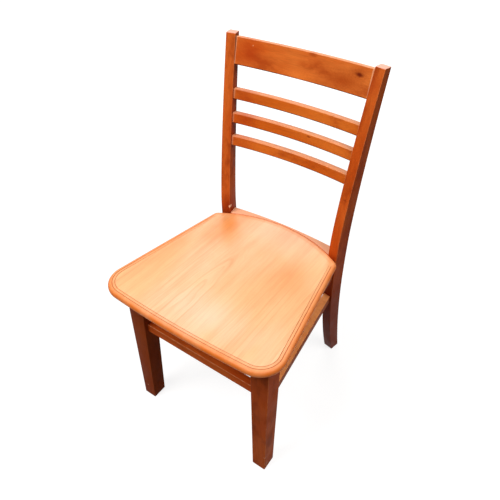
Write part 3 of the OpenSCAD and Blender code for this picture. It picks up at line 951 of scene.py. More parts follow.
class Loft:
    """Rings of one piece, with what their points are marked with, and the skin over them."""

    def __init__(self, name: str) -> None:
        """Start with no ring."""
        self.name = name
        self.rings: list[np.ndarray] = []
        self.marks: dict[str, list[np.ndarray]] = {}

    def ring(self, points: Sequence[Any], **marks: np.ndarray) -> None:
        """Add a closed ring.

        Args:
            points: Its points.
            marks: Attribute name to one value for each point.
        """
        self.rings.append(np.array(points))
        for key, values in marks.items():
            self.marks.setdefault(key, []).append(values)

    def closed(self, sharp: float = SHARP) -> bpy.types.Mesh:
        """Skin the rings and cap both ends.

        Args:
            sharp: Angle in degrees past which an edge stays sharp.

        Returns:
            The closed mesh, smooth but for its sharp edges.
        """
        count, around = len(self.rings), len(self.rings[0])
        faces = []
        for low in range(0, (count - 1) * around, around):
            for a in range(around):
                b = (a + 1) % around
                faces.append((low + a, low + b, low + around + b, low + around + a))
        faces.append(tuple(range(around))[::-1])
        faces.append(tuple(range((count - 1) * around, count * around)))
        mesh = bpy.data.meshes.new(self.name)
        mesh.from_pydata(np.concatenate(self.rings).tolist(), [], faces)
        for key, values in self.marks.items():
            layer = mesh.attributes.new(key, "FLOAT", "POINT")
            layer.data.foreach_set("value", np.concatenate(values).astype(np.float32))
        return settle(mesh, sharp)

    def mesh(self) -> bpy.types.Mesh:
        """Skin the rings and even the shading."""
        return evened(self.closed())


def settle(mesh: bpy.types.Mesh, sharp: float = SHARP) -> bpy.types.Mesh:
    """Merge a closed mesh's doubles, turn its faces outwards and set its shading.

    Args:
        mesh: Mesh to settle.
        sharp: Angle in degrees past which an edge stays sharp.

    Returns:
        The same mesh.
    """
    work = bmesh.new()
    work.from_mesh(mesh)
    bmesh.ops.remove_doubles(work, verts=work.verts, dist=2 * SAME)
    bmesh.ops.dissolve_degenerate(work, dist=SAME / 10, edges=work.edges)
    bmesh.ops.recalc_face_normals(work, faces=work.faces)
    for face in work.faces:
        face.smooth = True
    for edge in work.edges:
        edge.smooth = len(edge.link_faces) == 2 and edge.calc_face_angle(0.0) < math.radians(sharp)
    work.to_mesh(mesh)
    work.free()
    return mesh


def evaluated(obj: bpy.types.Object) -> bpy.types.Mesh:
    """Turn an object and its modifiers into a plain mesh, and take the object away.

    Args:
        obj: Object at the origin.

    Returns:
        The plain mesh.
    """
    bpy.context.view_layer.update()
    graph = bpy.context.evaluated_depsgraph_get()
    mesh = bpy.data.meshes.new_from_object(obj.evaluated_get(graph), depsgraph=graph)
    bpy.data.objects.remove(obj)
    return mesh


def put(name: str, data: bpy.types.ID) -> bpy.types.Object:
    """Put a mesh, a lamp or a camera in the scene.

    Args:
        name: Name of the object.
        data: What it shows.

    Returns:
        The object at the origin.
    """
    obj = bpy.data.objects.new(name, data)
    bpy.context.scene.collection.objects.link(obj)
    return obj


def grown(
    name: str, mesh: bpy.types.Mesh, tree: bpy.types.NodeTree, values: dict[str, Any]
) -> bpy.types.Mesh:
    """Run a geometry tree on a mesh.

    Args:
        name: Name of the piece.
        mesh: Mesh that the tree starts from.
        tree: The tree.
        values: Name of each input to its value.

    Returns:
        What the tree makes, as a plain mesh.
    """
    obj = put(name, mesh)
    modifier = obj.modifiers.new(tree.name, "NODES")
    modifier.node_group = tree
    for item in tree.interface.items_tree:
        if item.in_out == "INPUT" and item.name in values:
            modifier[item.identifier] = values[item.name]
    return evaluated(obj)


def evened(mesh: bpy.types.Mesh) -> bpy.types.Mesh:
    """Weigh the shading normals by area, so that flats stay flat beside their rounded arrises.

    Args:
        mesh: Mesh to even.

    Returns:
        The new mesh.
    """
    obj = put(mesh.name + "_evened", mesh)
    weigh = obj.modifiers.new("weigh", "WEIGHTED_NORMAL")
    weigh.mode = "FACE_AREA"
    weigh.weight = 60
    weigh.keep_sharp = True
    return evaluated(obj)


def mirrored(mesh: bpy.types.Mesh, side: Side) -> bpy.types.Mesh:
    """Copy a right-hand mesh to a side, with its faces outwards.

    Args:
        mesh: Mesh of the right side.
        side: Side to copy it to.

    Returns:
        The copy.
    """
    copy = mesh.copy()
    if side is Side.LEFT:
        copy.transform(Matrix.Scale(-1, 4, (1, 0, 0)))
        copy.flip_normals()
    return copy


@dataclass
class RearLegs:
    """The two one-piece rear legs: posts that lean back above the waist, swept legs below it."""

    height: float = 0.904
    half_span: float = 0.174
    turn: float = math.radians(11.4)
    waist_y: float = 0.130788
    waist_z: float = 0.488
    back_rake: float = 0.059
    foot_rake: float = 0.098
    foot_tuck: float = 0.032
    post_splay: float = 0.0057
    widths: Point = (0.025, 0.0285, 0.0235)
    depths: Point = (0.0392, 0.0305, 0.021)
    arris: float = 0.0014
    levels: int = 76
    side_shade: float = 0.08
    side_shade_rise: float = 0.48

    def rise(self, z: float) -> float:
        """Share of the way from the waist up to the post's top."""
        return max(0.0, (z - self.waist_z) / (self.height - self.waist_z))

    def drop(self, z: float) -> float:
        """Share of the way from the waist down to the floor."""
        return max(0.0, (self.waist_z - z) / self.waist_z)

    def width(self, z: float) -> float:
        """Width of the section at a height."""
        waist, foot, top = self.widths
        return waist + (top - waist) * self.rise(z) + (foot - waist) * self.drop(z)

    def depth(self, z: float) -> float:
        """Depth of the section at a height."""
        waist, foot, top = self.depths
        return waist + (top - waist) * self.rise(z) ** 1.12 + (foot - waist) * self.drop(z) ** 3.9

    def place(self, z: float, inward: float = 0.0, back: float = 0.0) -> np.ndarray:
        """Place of a point of the right leg's section.

        Args:
            z: Height.
            inward: Distance from the outer front edge towards the middle of the chair.
            back: Distance from that edge rearward.

        Returns:
            The point.
        """
        out = self.post_splay * self.rise(z) - self.foot_tuck * self.drop(z) ** 1.5 - inward
        deep = self.back_rake * self.rise(z) ** 1.37 + self.foot_rake * self.drop(z) ** 1.95 + back
        cos, sin = math.cos(self.turn), math.sin(self.turn)
        x = self.half_span + out * cos + deep * sin
        return np.array([x, self.waist_y - out * sin + deep * cos, z])

    def inner_x(self, z: float) -> float:
        """Distance from the middle of the chair to the post's inner front edge."""
        return float(self.place(z, self.width(z))[0])

    def mesh(self) -> bpy.types.Mesh:
        """Loft the right leg through its rounded sections.

        Returns:
            The mesh in place.
        """
        loft = Loft("rear_leg")
        for z, inset, mark in leg_stations(self.height, self.arris, self.levels):
            width, depth = self.width(z), self.depth(z)
            section, arris = boxed((inset, inset), (width - inset, depth - inset), self.arris)
            shade = self.side_shade + self.side_shade_rise * z
            loft.ring(
                [self.place(z, inward, back) for inward, back in section],
                arris=np.maximum(arris, mark),
                shade=shade * on_sides(section, width, inset),
            )
        return loft.mesh()

    def build(self, shop: Workshop) -> None:
        """Build both rear legs."""
        shop.pairs(shop.finishes.post, {"rear_leg": self.mesh()})


@dataclass
class FrontLegs:
    """The two front legs: straight outside, tapered inside and front to back."""

    half_span: float = 0.20275
    face_y: float = -0.211212
    height: float = 0.432
    widths: tuple[float, float] = (0.036, 0.0485)
    depths: tuple[float, float] = (0.0405, 0.048)
    arris: float = 0.0014
    levels: int = 24

    def width(self, z: float) -> float:
        """Width of the section at a height."""
        return self.widths[0] + (self.widths[1] - self.widths[0]) * z / self.height

    def inner_x(self, z: float) -> float:
        """Distance from the middle of the chair to the leg's inner face."""
        return self.half_span - self.width(z)

    def front_y(self, z: float) -> float:
        """Place of the front face along Y."""
        return self.face_y + (self.depths[1] - self.depths[0]) / 2 * (1 - z / self.height)

    def back_y(self, z: float) -> float:
        """Place of the back face along Y."""
        lean = (self.depths[1] - self.depths[0]) / 2
        return self.face_y + lean + self.depths[0] + lean * z / self.height

    def mesh(self) -> bpy.types.Mesh:
        """Loft the right leg through its rounded sections.

        Returns:
            The mesh in place.
        """
        loft = Loft("front_leg")
        for z, inset, mark in leg_stations(self.height, self.arris, self.levels):
            low = self.inner_x(z) + inset, self.front_y(z) + inset
            high = self.half_span - inset, self.back_y(z) - inset
            section, arris = boxed(low, high, self.arris)
            loft.ring([(x, y, z) for x, y in section], arris=np.maximum(arris, mark))
        return loft.mesh()

    def build(self, shop: Workshop) -> None:
        """Build both front legs."""
        shop.pairs(shop.finishes.leg, {"front_leg": self.mesh()})


@dataclass(frozen=True)
class BackBoard:
    """One board of the back: a rounded section swept along an arc that bows rearward."""

    node: str
    z: float
    height: float = 0.025
    thickness: float = 0.020
    inset: float = 0.0055
    arris: float = 0.0023


@dataclass
class LadderBack:
    """The crest rail and the three slats, bowed between the posts and leaning with them."""

    legs: RearLegs
    bow: float = 0.0155
    lap: float = 0.007
    # Painted sheen on the boards' top faces.
    top_sheen: float = 0.55
    top_from: float = 0.9985
    # Height over which the painted shade rises from a board's lower edge.
    shaded_foot: float = 0.01
    arris_gain: float = 3.4
    crest: BackBoard = BackBoard("crest_rail", 0.8655, 0.062, 0.0145, 0.001)
    slats: tuple[BackBoard, ...] = (
        BackBoard("slat_upper", 0.7675),
        BackBoard("slat_middle", 0.7105),
        BackBoard("slat_lower", 0.6535),
    )

    def profile(self, graph: GeometryGraph) -> Any:
        """Rounded section of a board, whose points carry how near an arris they stand.

        Args:
            graph: Tree that is being built.

        Returns:
            The section's curve.
        """
        given = graph.given
        size = {"Width": given["Thickness"], "Height": given["Height"]}
        outline = graph.add("GeometryNodeCurvePrimitiveQuadrilateral", size)
        fillet = {"Curve": outline, "Radius": given["Arris"], "Count": 5}
        rounding = graph.add("GeometryNodeFilletCurve", fillet, mode="POLY")
        corner = graph.split(graph.vector("ABSOLUTE", graph.add("GeometryNodeInputPosition")))
        gaps = [
            graph.math("SUBTRACT", graph.math("MULTIPLY", given[name], 0.5), corner[axis])
            for name, axis in (("Thickness", "X"), ("Height", "Y"))
        ]
        share = graph.math("DIVIDE", graph.math("MINIMUM", *gaps), given["Arris"])
        share = graph.math("MULTIPLY", share, self.arris_gain, clamp=True)
        return graph.store(rounding, "arris", share)

    def tree(self) -> bpy.types.NodeTree:
        """Geometry tree of a bowed board, with its sizes as inputs.

        Returns:
            The tree.
        """
        sizes = ("Radius", "Start", "Sweep", "Height", "Thickness", "Arris", "Half")
        graph = GeometryGraph("bowed_board", Float=sizes, Material=("Wood",))
        given = graph.given
        arc = {
            "Resolution": 97, "Radius": given["Radius"],
            "Start Angle": given["Start"], "Sweep Angle": given["Sweep"],
        }
        line = graph.add("GeometryNodeCurveArc", arc)
        sweep = {"Curve": line, "Profile Curve": self.profile(graph), "Fill Caps": True}
        skin = graph.add("GeometryNodeCurveToMesh", sweep)
        spot = graph.split(graph.add("GeometryNodeInputPosition"))
        half_height = graph.math("MULTIPLY", given["Height"], 0.5)
        # Painted sheen on the top face and painted highlight on the upper arrises; the lower half
        # gets none.
        level = graph.math("DIVIDE", spot["Z"], half_height)
        top = graph.remap(level, self.top_from, 1.0, 0.0, self.top_sheen)
        rubbed_and_lit = graph.math("MAXIMUM", graph.stored("arris"), top)
        rubbed_and_lit = graph.math("MULTIPLY", rubbed_and_lit, graph.math("GREATER_THAN", level, 0.0))
        # Painted shade that fades up from the lower edge.
        lift = graph.math("DIVIDE", graph.math("ADD", spot["Z"], half_height), self.shaded_foot)
        skin = graph.store(skin, "lower_shade", graph.math("SUBTRACT", 1.0, lift))
        skin = graph.store(skin, "reach", graph.math("DIVIDE", spot["X"], given["Half"]))
        return graph.close(graph.store(skin, "arris", rubbed_and_lit), given["Wood"])

    def board(
        self, tree: bpy.types.NodeTree, board: BackBoard, wood: bpy.types.Material
    ) -> bpy.types.Mesh:
        """Sweep one board and lean it into place.

        Args:
            tree: Geometry tree of a bowed board.
            board: Sizes of the board.
            wood: Its material.

        Returns:
            The mesh in place.
        """
        half = self.legs.inner_x(board.z)
        radius = (half * half + self.bow * self.bow) / (2 * self.bow)
        spread = math.asin((half + self.lap) / radius)
        values = {
            "Radius": radius + board.thickness / 2, "Start": math.pi / 2 - spread,
            "Sweep": 2 * spread, "Height": board.height, "Thickness": board.thickness,
            "Arris": board.arris, "Half": half, "Wood": wood,
        }
        mesh = grown(board.node, bpy.data.meshes.new(board.node), tree, values)
        inner_edge = self.legs.place(board.z, self.legs.width(board.z))
        y = float(inner_edge[1]) + board.inset + self.bow
        step = 0.001
        rake = self.legs.place(board.z + step)[1] - self.legs.place(board.z)[1]
        lean = Matrix.Rotation(-math.atan2(float(rake), step), 4, "X")
        away = Matrix.Translation((0, -radius, 0))
        mesh.transform(Matrix.Translation((0, y, board.z)) @ lean @ away)
        return evened(settle(mesh))

    def build(self, shop: Workshop) -> None:
        """Build the crest rail and the slats."""
        tree = self.tree()
        for board in (self.crest, *self.slats):
            finish = shop.finishes.crest if board is self.crest else shop.finishes.slat
            mesh = self.board(tree, board, shop.finishes.of(finish))
            shop.piece(f"{board.node}_wood", mesh, finish, board.node)


class Arc(NamedTuple):
    """Arc of the seat's outline, from one angle to another."""

    centre: np.ndarray
    radius: float
    first: float
    last: float
    steps: int

    def at(self, share: float, inset: float) -> np.ndarray:
        """Point of the arc, moved in.

        Args:
            share: Share of the way along the arc.
            inset: How far in from the seat's edge.

        Returns:
            The point.
        """
        angle = self.first + (self.last - self.first) * share
        radius = max(0.0005, self.radius - inset)
        return self.centre + radius * np.array([math.cos(angle), math.sin(angle)])


class SeatRing(NamedTuple):
    """Ring of the seat: its inset and height, and how its points are marked.

    Deep is the share of the incised line's depth, rim that of the nose's colour and dark that of
    the line's colour.
    """

    inset: float
    z: float
    deep: float = 0.0
    rim: float = 0.0
    dark: float = 0.0


@dataclass
class SeatPanel:
    """The seat: a panel with a rounded nose, two incised lines and notches for the posts."""

    legs: RearLegs
    front_w: float = 0.468
    rear_w: float = 0.3695
    thickness: float = 0.018
    top: float = 0.450
    nose_y: float = -0.268712
    front_bow: float = 0.010
    rear_y: float = 0.172288
    rear_r: float = 0.330
    corner_r: float = 0.059
    rear_corner_r: float = 0.017
    nose_reach: float = 0.007
    under_inset: float = 0.018
    line_inset: float = 0.0095
    line_pitch: float = 0.0065
    line_w: float = 0.0014
    line_depth: float = 0.001
    line_gap: float = 0.0003
    line_end: float = 0.985
    line_fade: float = 0.02
    # Along the left side the colour of the lines fades, from this place along Y.
    faded_from: float = -0.19
    faded_over: float = 0.06
    faded_share: float = 0.85
    # Share of the nose's colour on the lines' rings where the lines have ended.
    nose_past_lines: float = 0.35
    gap: float = 0.0004
    notch_reach: float = 0.12
    notch_height: float = 0.06
    sharp: float = 40.0
    side_steps: tuple[float, ...] = (0.25, 0.5, 0.75, 0.93, 0.965, 0.985)
    # Share of the width, depth and colour of an incised line at each ring across it.
    groove: tuple[Point, ...] = (
        (0.0, 0.0, 0.7), (0.2, 0.8, 1.0), (0.5, 1.0, 1.0), (0.8, 0.8, 1.0), (1.0, 0.0, 0.7),
    )
    # Share of the nose's colour and of the line's colour at the outer and the inner line.
    lines: tuple[tuple[float, float], ...] = ((0.5, 0.9), (0.25, 0.7))

    def arcs(self) -> tuple[Arc, Arc, Arc, Arc]:
        """Arcs of the right half of the outline.

        Returns:
            The arcs of the front, the front corner, the rear corner and the rear.
        """
        half = self.front_w / 2
        corner_x = half - self.corner_r
        front_r = (half * half + self.front_bow**2) / (2 * self.front_bow)
        front = np.array([0.0, self.nose_y + front_r])
        drop = math.sqrt((front_r - self.corner_r) ** 2 - corner_x**2)
        corner = np.array([corner_x, front[1] - drop])
        rear = np.array([0.0, self.rear_y - self.rear_r])
        rear_x = self.rear_w / 2 - self.rear_corner_r
        rise = math.sqrt((self.rear_r - self.rear_corner_r) ** 2 - rear_x**2)
        rear_corner = np.array([rear_x, rear[1] + rise])
        run = rear_corner - corner
        narrowing = (self.corner_r - self.rear_corner_r) / float(np.linalg.norm(run))
        side = math.atan2(run[1], run[0]) - math.acos(narrowing)
        front_end = math.atan2(corner[1] - front[1], corner_x)
        rear_start = math.atan2(rear_corner[1] - rear[1], rear_x)
        return (
            Arc(front, front_r, -math.pi / 2, front_end, 16),
            Arc(corner, self.corner_r, front_end, side, 22),
            Arc(rear_corner, self.rear_corner_r, side, rear_start, 12),
            Arc(rear, self.rear_r, rear_start, math.pi / 2, 18),
        )

    def outline(self, inset: float) -> tuple[np.ndarray, np.ndarray]:
        """Outline of the seat, moved in.

        Args:
            inset: How far in from the seat's edge.

        Returns:
            The points, and how far each one carries the incised lines, from 0 to 1.
        """
        points: list[np.ndarray] = []
        lined: list[float] = []
        front, corner, rear_corner, rear = self.arcs()
        for arc, line in ((front, 1.0), (corner, 1.0), (rear_corner, 0.0), (rear, 0.0)):
            if arc is rear_corner:
                start, end = points[-1], arc.at(0.0, inset)
                for share in self.side_steps:
                    points.append(start + (end - start) * share)
                    lined.append(min(1.0, max(0.0, (self.line_end - share) / self.line_fade)))
            for k in range(arc.steps + 1):
                points.append(arc.at(k / arc.steps, inset))
                lined.append(line)
        right, weight = np.array(points), np.array(lined)
        left = right[::-1] * [-1.0, 1.0]
        weights = np.concatenate([weight[:-1], weight[::-1][:-1]])
        return np.vstack([right[:-1], left[:-1]]), weights

    def levels(self) -> list[SeatRing]:
        """Rings of the panel from the middle of its underside to the middle of its top.

        Returns:
            The rings in their order.
        """
        half = self.thickness / 2
        middle = self.top - half
        rows = [SeatRing(self.nose_reach + self.under_inset, self.top - self.thickness, rim=0.25)]
        for k in range(17):
            angle = -math.pi / 2 + math.pi * k / 16
            inset = self.nose_reach * (1 - math.cos(angle))
            rim = 1.0 if k < 12 else 1.0 - 0.09 * (k - 11)
            rows.append(SeatRing(inset, middle + half * math.sin(angle), rim=rim))
        for n, (rim, dark) in enumerate(self.lines):
            start = self.line_inset + n * self.line_pitch
            rows.append(SeatRing(start - self.line_gap, self.top, rim=rim))
            for across, deep, strong in self.groove:
                inset = start + across * self.line_w
                rows.append(SeatRing(inset, self.top, deep, rim, dark * strong))
            rows.append(SeatRing(start + self.line_w + self.line_gap, self.top, rim=rim - 0.2))
        last = self.line_inset + self.line_pitch + self.line_w
        rows += [SeatRing(last + 0.0015, self.top), SeatRing(last + 0.012, self.top)]
        return rows

    def mesh(self) -> bpy.types.Mesh:
        """Skin the panel and cut the notches for the posts.

        Returns:
            The mesh in place.
        """
        loft = Loft("seat_panel")
        for ring in self.levels():
            flat, lined = self.outline(ring.inset)
            height = ring.z - self.line_depth * ring.deep * lined
            nose = np.full(len(flat), ring.rim)
            if ring.deep or ring.dark:
                nose *= self.nose_past_lines + (1.0 - self.nose_past_lines) * lined
            faded = np.clip((flat[:, 1] - self.faded_from) / self.faded_over, 0.0, 1.0)
            on_left = flat[:, 0] < 0.0
            line = ring.dark * lined * (1.0 - self.faded_share * faded * on_left)
            loft.ring(np.column_stack([flat, height]), nose=nose, line=line)
        panel = put("seat_blank", loft.closed(self.sharp))
        cutters = [put("notch", self.notch(side)) for side in Side]
        for cutter in cutters:
            cut = panel.modifiers.new("notch", "BOOLEAN")
            cut.object = cutter
            cut.operation = "DIFFERENCE"
            cut.solver = "EXACT"
        mesh = evaluated(panel)
        for cutter in cutters:
            bpy.data.objects.remove(cutter)
        return evened(settle(mesh, self.sharp))

    def notch(self, side: Side) -> bpy.types.Mesh:
        """Room for one post at the seat's rear corner.

        Args:
            side: Side of the chair.

        Returns:
            A closed cutter.
        """
        reach = self.notch_reach
        width = self.legs.width(self.top - self.thickness) + self.gap
        scale = Matrix.Diagonal((width + reach, reach, self.notch_height, 1.0))
        shift = Matrix.Translation(((reach - width) / 2, reach / 2 - self.gap, 0.0))
        middle = Vector(self.legs.place(self.top)) - Vector((0, 0, self.thickness / 2))
        turn = Matrix.Rotation(-self.legs.turn, 4, "Z")
        place = Matrix.Translation(middle) @ turn @ shift @ scale
        if side is Side.LEFT:
            place = Matrix.Scale(-1, 4, (1, 0, 0)) @ place
        work = bmesh.new()
        bmesh.ops.create_cube(work, size=1.0)
        bmesh.ops.transform(work, matrix=place, verts=work.verts)
        bmesh.ops.recalc_face_normals(work, faces=work.faces)
        mesh = bpy.data.meshes.new("notch")
        work.to_mesh(mesh)
        work.free()
        return mesh

    def build(self, shop: Workshop) -> None:
        """Build the seat."""
        shop.piece("seat_panel_wood", self.mesh(), shop.finishes.seat, "seat_panel")


@dataclass(frozen=True)
class BarSize:
    """Sizes of a straight bar: its top, its section, and how far its tenons are set in."""

    top: float
    height: float
    thickness: float
    shoulder: float

    @property
    def middle(self) -> float:
        """Height of the bar's middle."""
        return self.top - self.height / 2


@dataclass
class RailFrame:
    """The aprons under the seat, the bowed rear rail and the box of stretchers."""

    rear: RearLegs
    front: FrontLegs
    seat: SeatPanel
    apron: BarSize = BarSize(0.432, 0.060, 0.018, 0.005)
    stretcher: BarSize = BarSize(0.302, 0.024, 0.019, 0.004)
    front_setback: float = 0.012
    side_setback: float = 0.005
    rear_setback: float = 0.006
    rear_t: float = 0.028
    rear_back: float = 0.046
    rear_bow: float = 0.0095
    rear_top: float = 0.448
    rear_radii: tuple[float, ...] = (0.0016, 0.0016, 0.0016, 0.0012, 0.0001, 0.0001)
    least_rebate: float = 0.0003
    lap: float = 0.006
    tenon: float = 0.013
    arris: float = 0.0013
    # Painted shade on the side faces of the side bars.
    side_shade: float = 0.55

    def bar(
        self, name: str, ends: Sequence[Sequence[float]], size: BarSize, light_and_shade: float = 0.0
    ) -> bpy.types.Mesh:
        """A straight bar with rounded arrises and a tenon at each end.

        Args:
            name: Name of the mesh.
            ends: First and last point of its outer line, on the legs' faces.
            size: Its sizes; the thickness goes to the left of that line.
            light_and_shade: Share of painted light on its top and of painted shade on its sides.

        Returns:
            The mesh in place.
        """
        start, end = np.array(ends, float)
        length = float(np.linalg.norm(end - start))
        along = (end - start) / length
        aside = np.array([-along[1], along[0]])
        tenon = [(self.tenon, size.shoulder), (self.lap, size.shoulder), (self.lap, 0.0)]
        stations = [(-out, inset) for out, inset in tenon]
        stations += [(length * k / 24, 0.0) for k in range(25)]
        stations += [(length + out, inset) for out, inset in reversed(tenon)]
        loft = Loft(name)
        for at, inset in stations:
            low = inset, size.top - size.height + inset
            high = size.thickness - inset, size.top - inset
            section, arris = boxed(low, high, self.arris)
            flat = start + along * at + section[:, :1] * aside
            # Painted light on the top face and painted shade on the side faces, by that share.
            on_top = section[:, 1] > high[1] - SAME
            loft.ring(
                np.column_stack([flat, section[:, 1]]),
                arris=np.maximum(arris, light_and_shade * on_top),
                shade=self.side_shade * light_and_shade * on_sides(section, size.thickness, inset),
            )
        return loft.mesh()

    def front_bar(self, name: str, size: BarSize) -> bpy.types.Mesh:
        """A bar between the front legs, set back from their faces.

        Args:
            name: Name of the mesh.
            size: Sizes of the bar.

        Returns:
            The mesh in place.
        """
        x, y = self.front.inner_x(size.middle), self.front.face_y + self.front_setback
        return self.bar(name, [(-x, y), (x, y)], size)

    def side_bar(self, name: str, size: BarSize) -> bpy.types.Mesh:
        """A bar down the right side, set in from the legs' outer faces.

        Args:
            name: Name of the mesh.
            size: Sizes of the bar.

        Returns:
            The mesh in place.
        """
        z = size.middle
        start = self.front.half_span - self.side_setback, self.front.back_y(z)
        rear_y = self.rear.place(z, self.rear.width(z) / 2)[1]
        end = self.rear.place(z)[0] - self.side_setback, rear_y
        return self.bar(name, [start, end], size, 1.0)

    def rear_bar(self, name: str, size: BarSize) -> bpy.types.Mesh:
        """A straight bar between the rear legs, set in from their rear faces.

        Args:
            name: Name of the mesh.
            size: Sizes of the bar.

        Returns:
            The mesh in place.
        """
        z = size.middle
        width, depth = self.rear.width(z), self.rear.depth(z)
        y = self.rear.place(z, width, depth)[1] - self.rear_setback - size.thickness
        x = self.rear.place(z, width, depth / 2)[0]
        return self.bar(name, [(-x, y), (x, y)], size)

    def rear_rail(self, name: str) -> bpy.types.Mesh:
        """The bowed rear rail, rebated for the seat's rear edge.

        Args:
            name: Name of the mesh.

        Returns:
            The mesh in place.
        """
        chord = self.rear.inner_x(self.seat.top)
        radius = (chord * chord + self.rear_bow**2) / (2 * self.rear_bow)
        centre = self.rear.waist_y + self.rear_back - radius
        seat_centre = self.seat.rear_y - self.seat.rear_r
        top, shelf, low = self.rear_top, self.apron.top, self.apron.top - self.apron.height
        half = chord + self.lap
        loft = Loft(name)
        for x in np.linspace(-half, half, 73):
            back = centre + math.sqrt(radius**2 - x * x)
            front = centre + math.sqrt((radius - self.rear_t) ** 2 - x * x)
            edge = seat_centre + math.sqrt((self.seat.rear_r + self.seat.gap) ** 2 - x * x)
            lip = max(front + self.least_rebate, edge)
            corners = [
                (front, low), (back, low), (back, top), (lip, top), (lip, shelf), (front, shelf),
            ]
            section, arris = rounded(corners, self.rear_radii)
            arris[4 * CORNER_POINTS:] = 0.0
            loft.ring(np.column_stack([np.full(len(section), x), section]), arris=arris)
        return loft.mesh()

    def build(self, shop: Workshop) -> None:
        """Build the aprons, the rear rail and the stretchers."""
        finishes = shop.finishes
        for node, mesh, finish in (
            ("front_apron", self.front_bar("front_apron", self.apron), finishes.rail),
            ("front_stretcher", self.front_bar("front_stretcher", self.stretcher), finishes.rail),
            ("rear_stretcher", self.rear_bar("rear_stretcher", self.stretcher), finishes.rail),
            ("rear_rail", self.rear_rail("rear_rail"), finishes.rear_rail),
        ):
            shop.piece(f"{node}_wood", mesh, finish, node)
        sizes = {"side_apron": self.apron, "side_stretcher": self.stretcher}
        sides = {part: self.side_bar(part, size) for part, size in sizes.items()}
        shop.pairs(finishes.side_rail, sides)


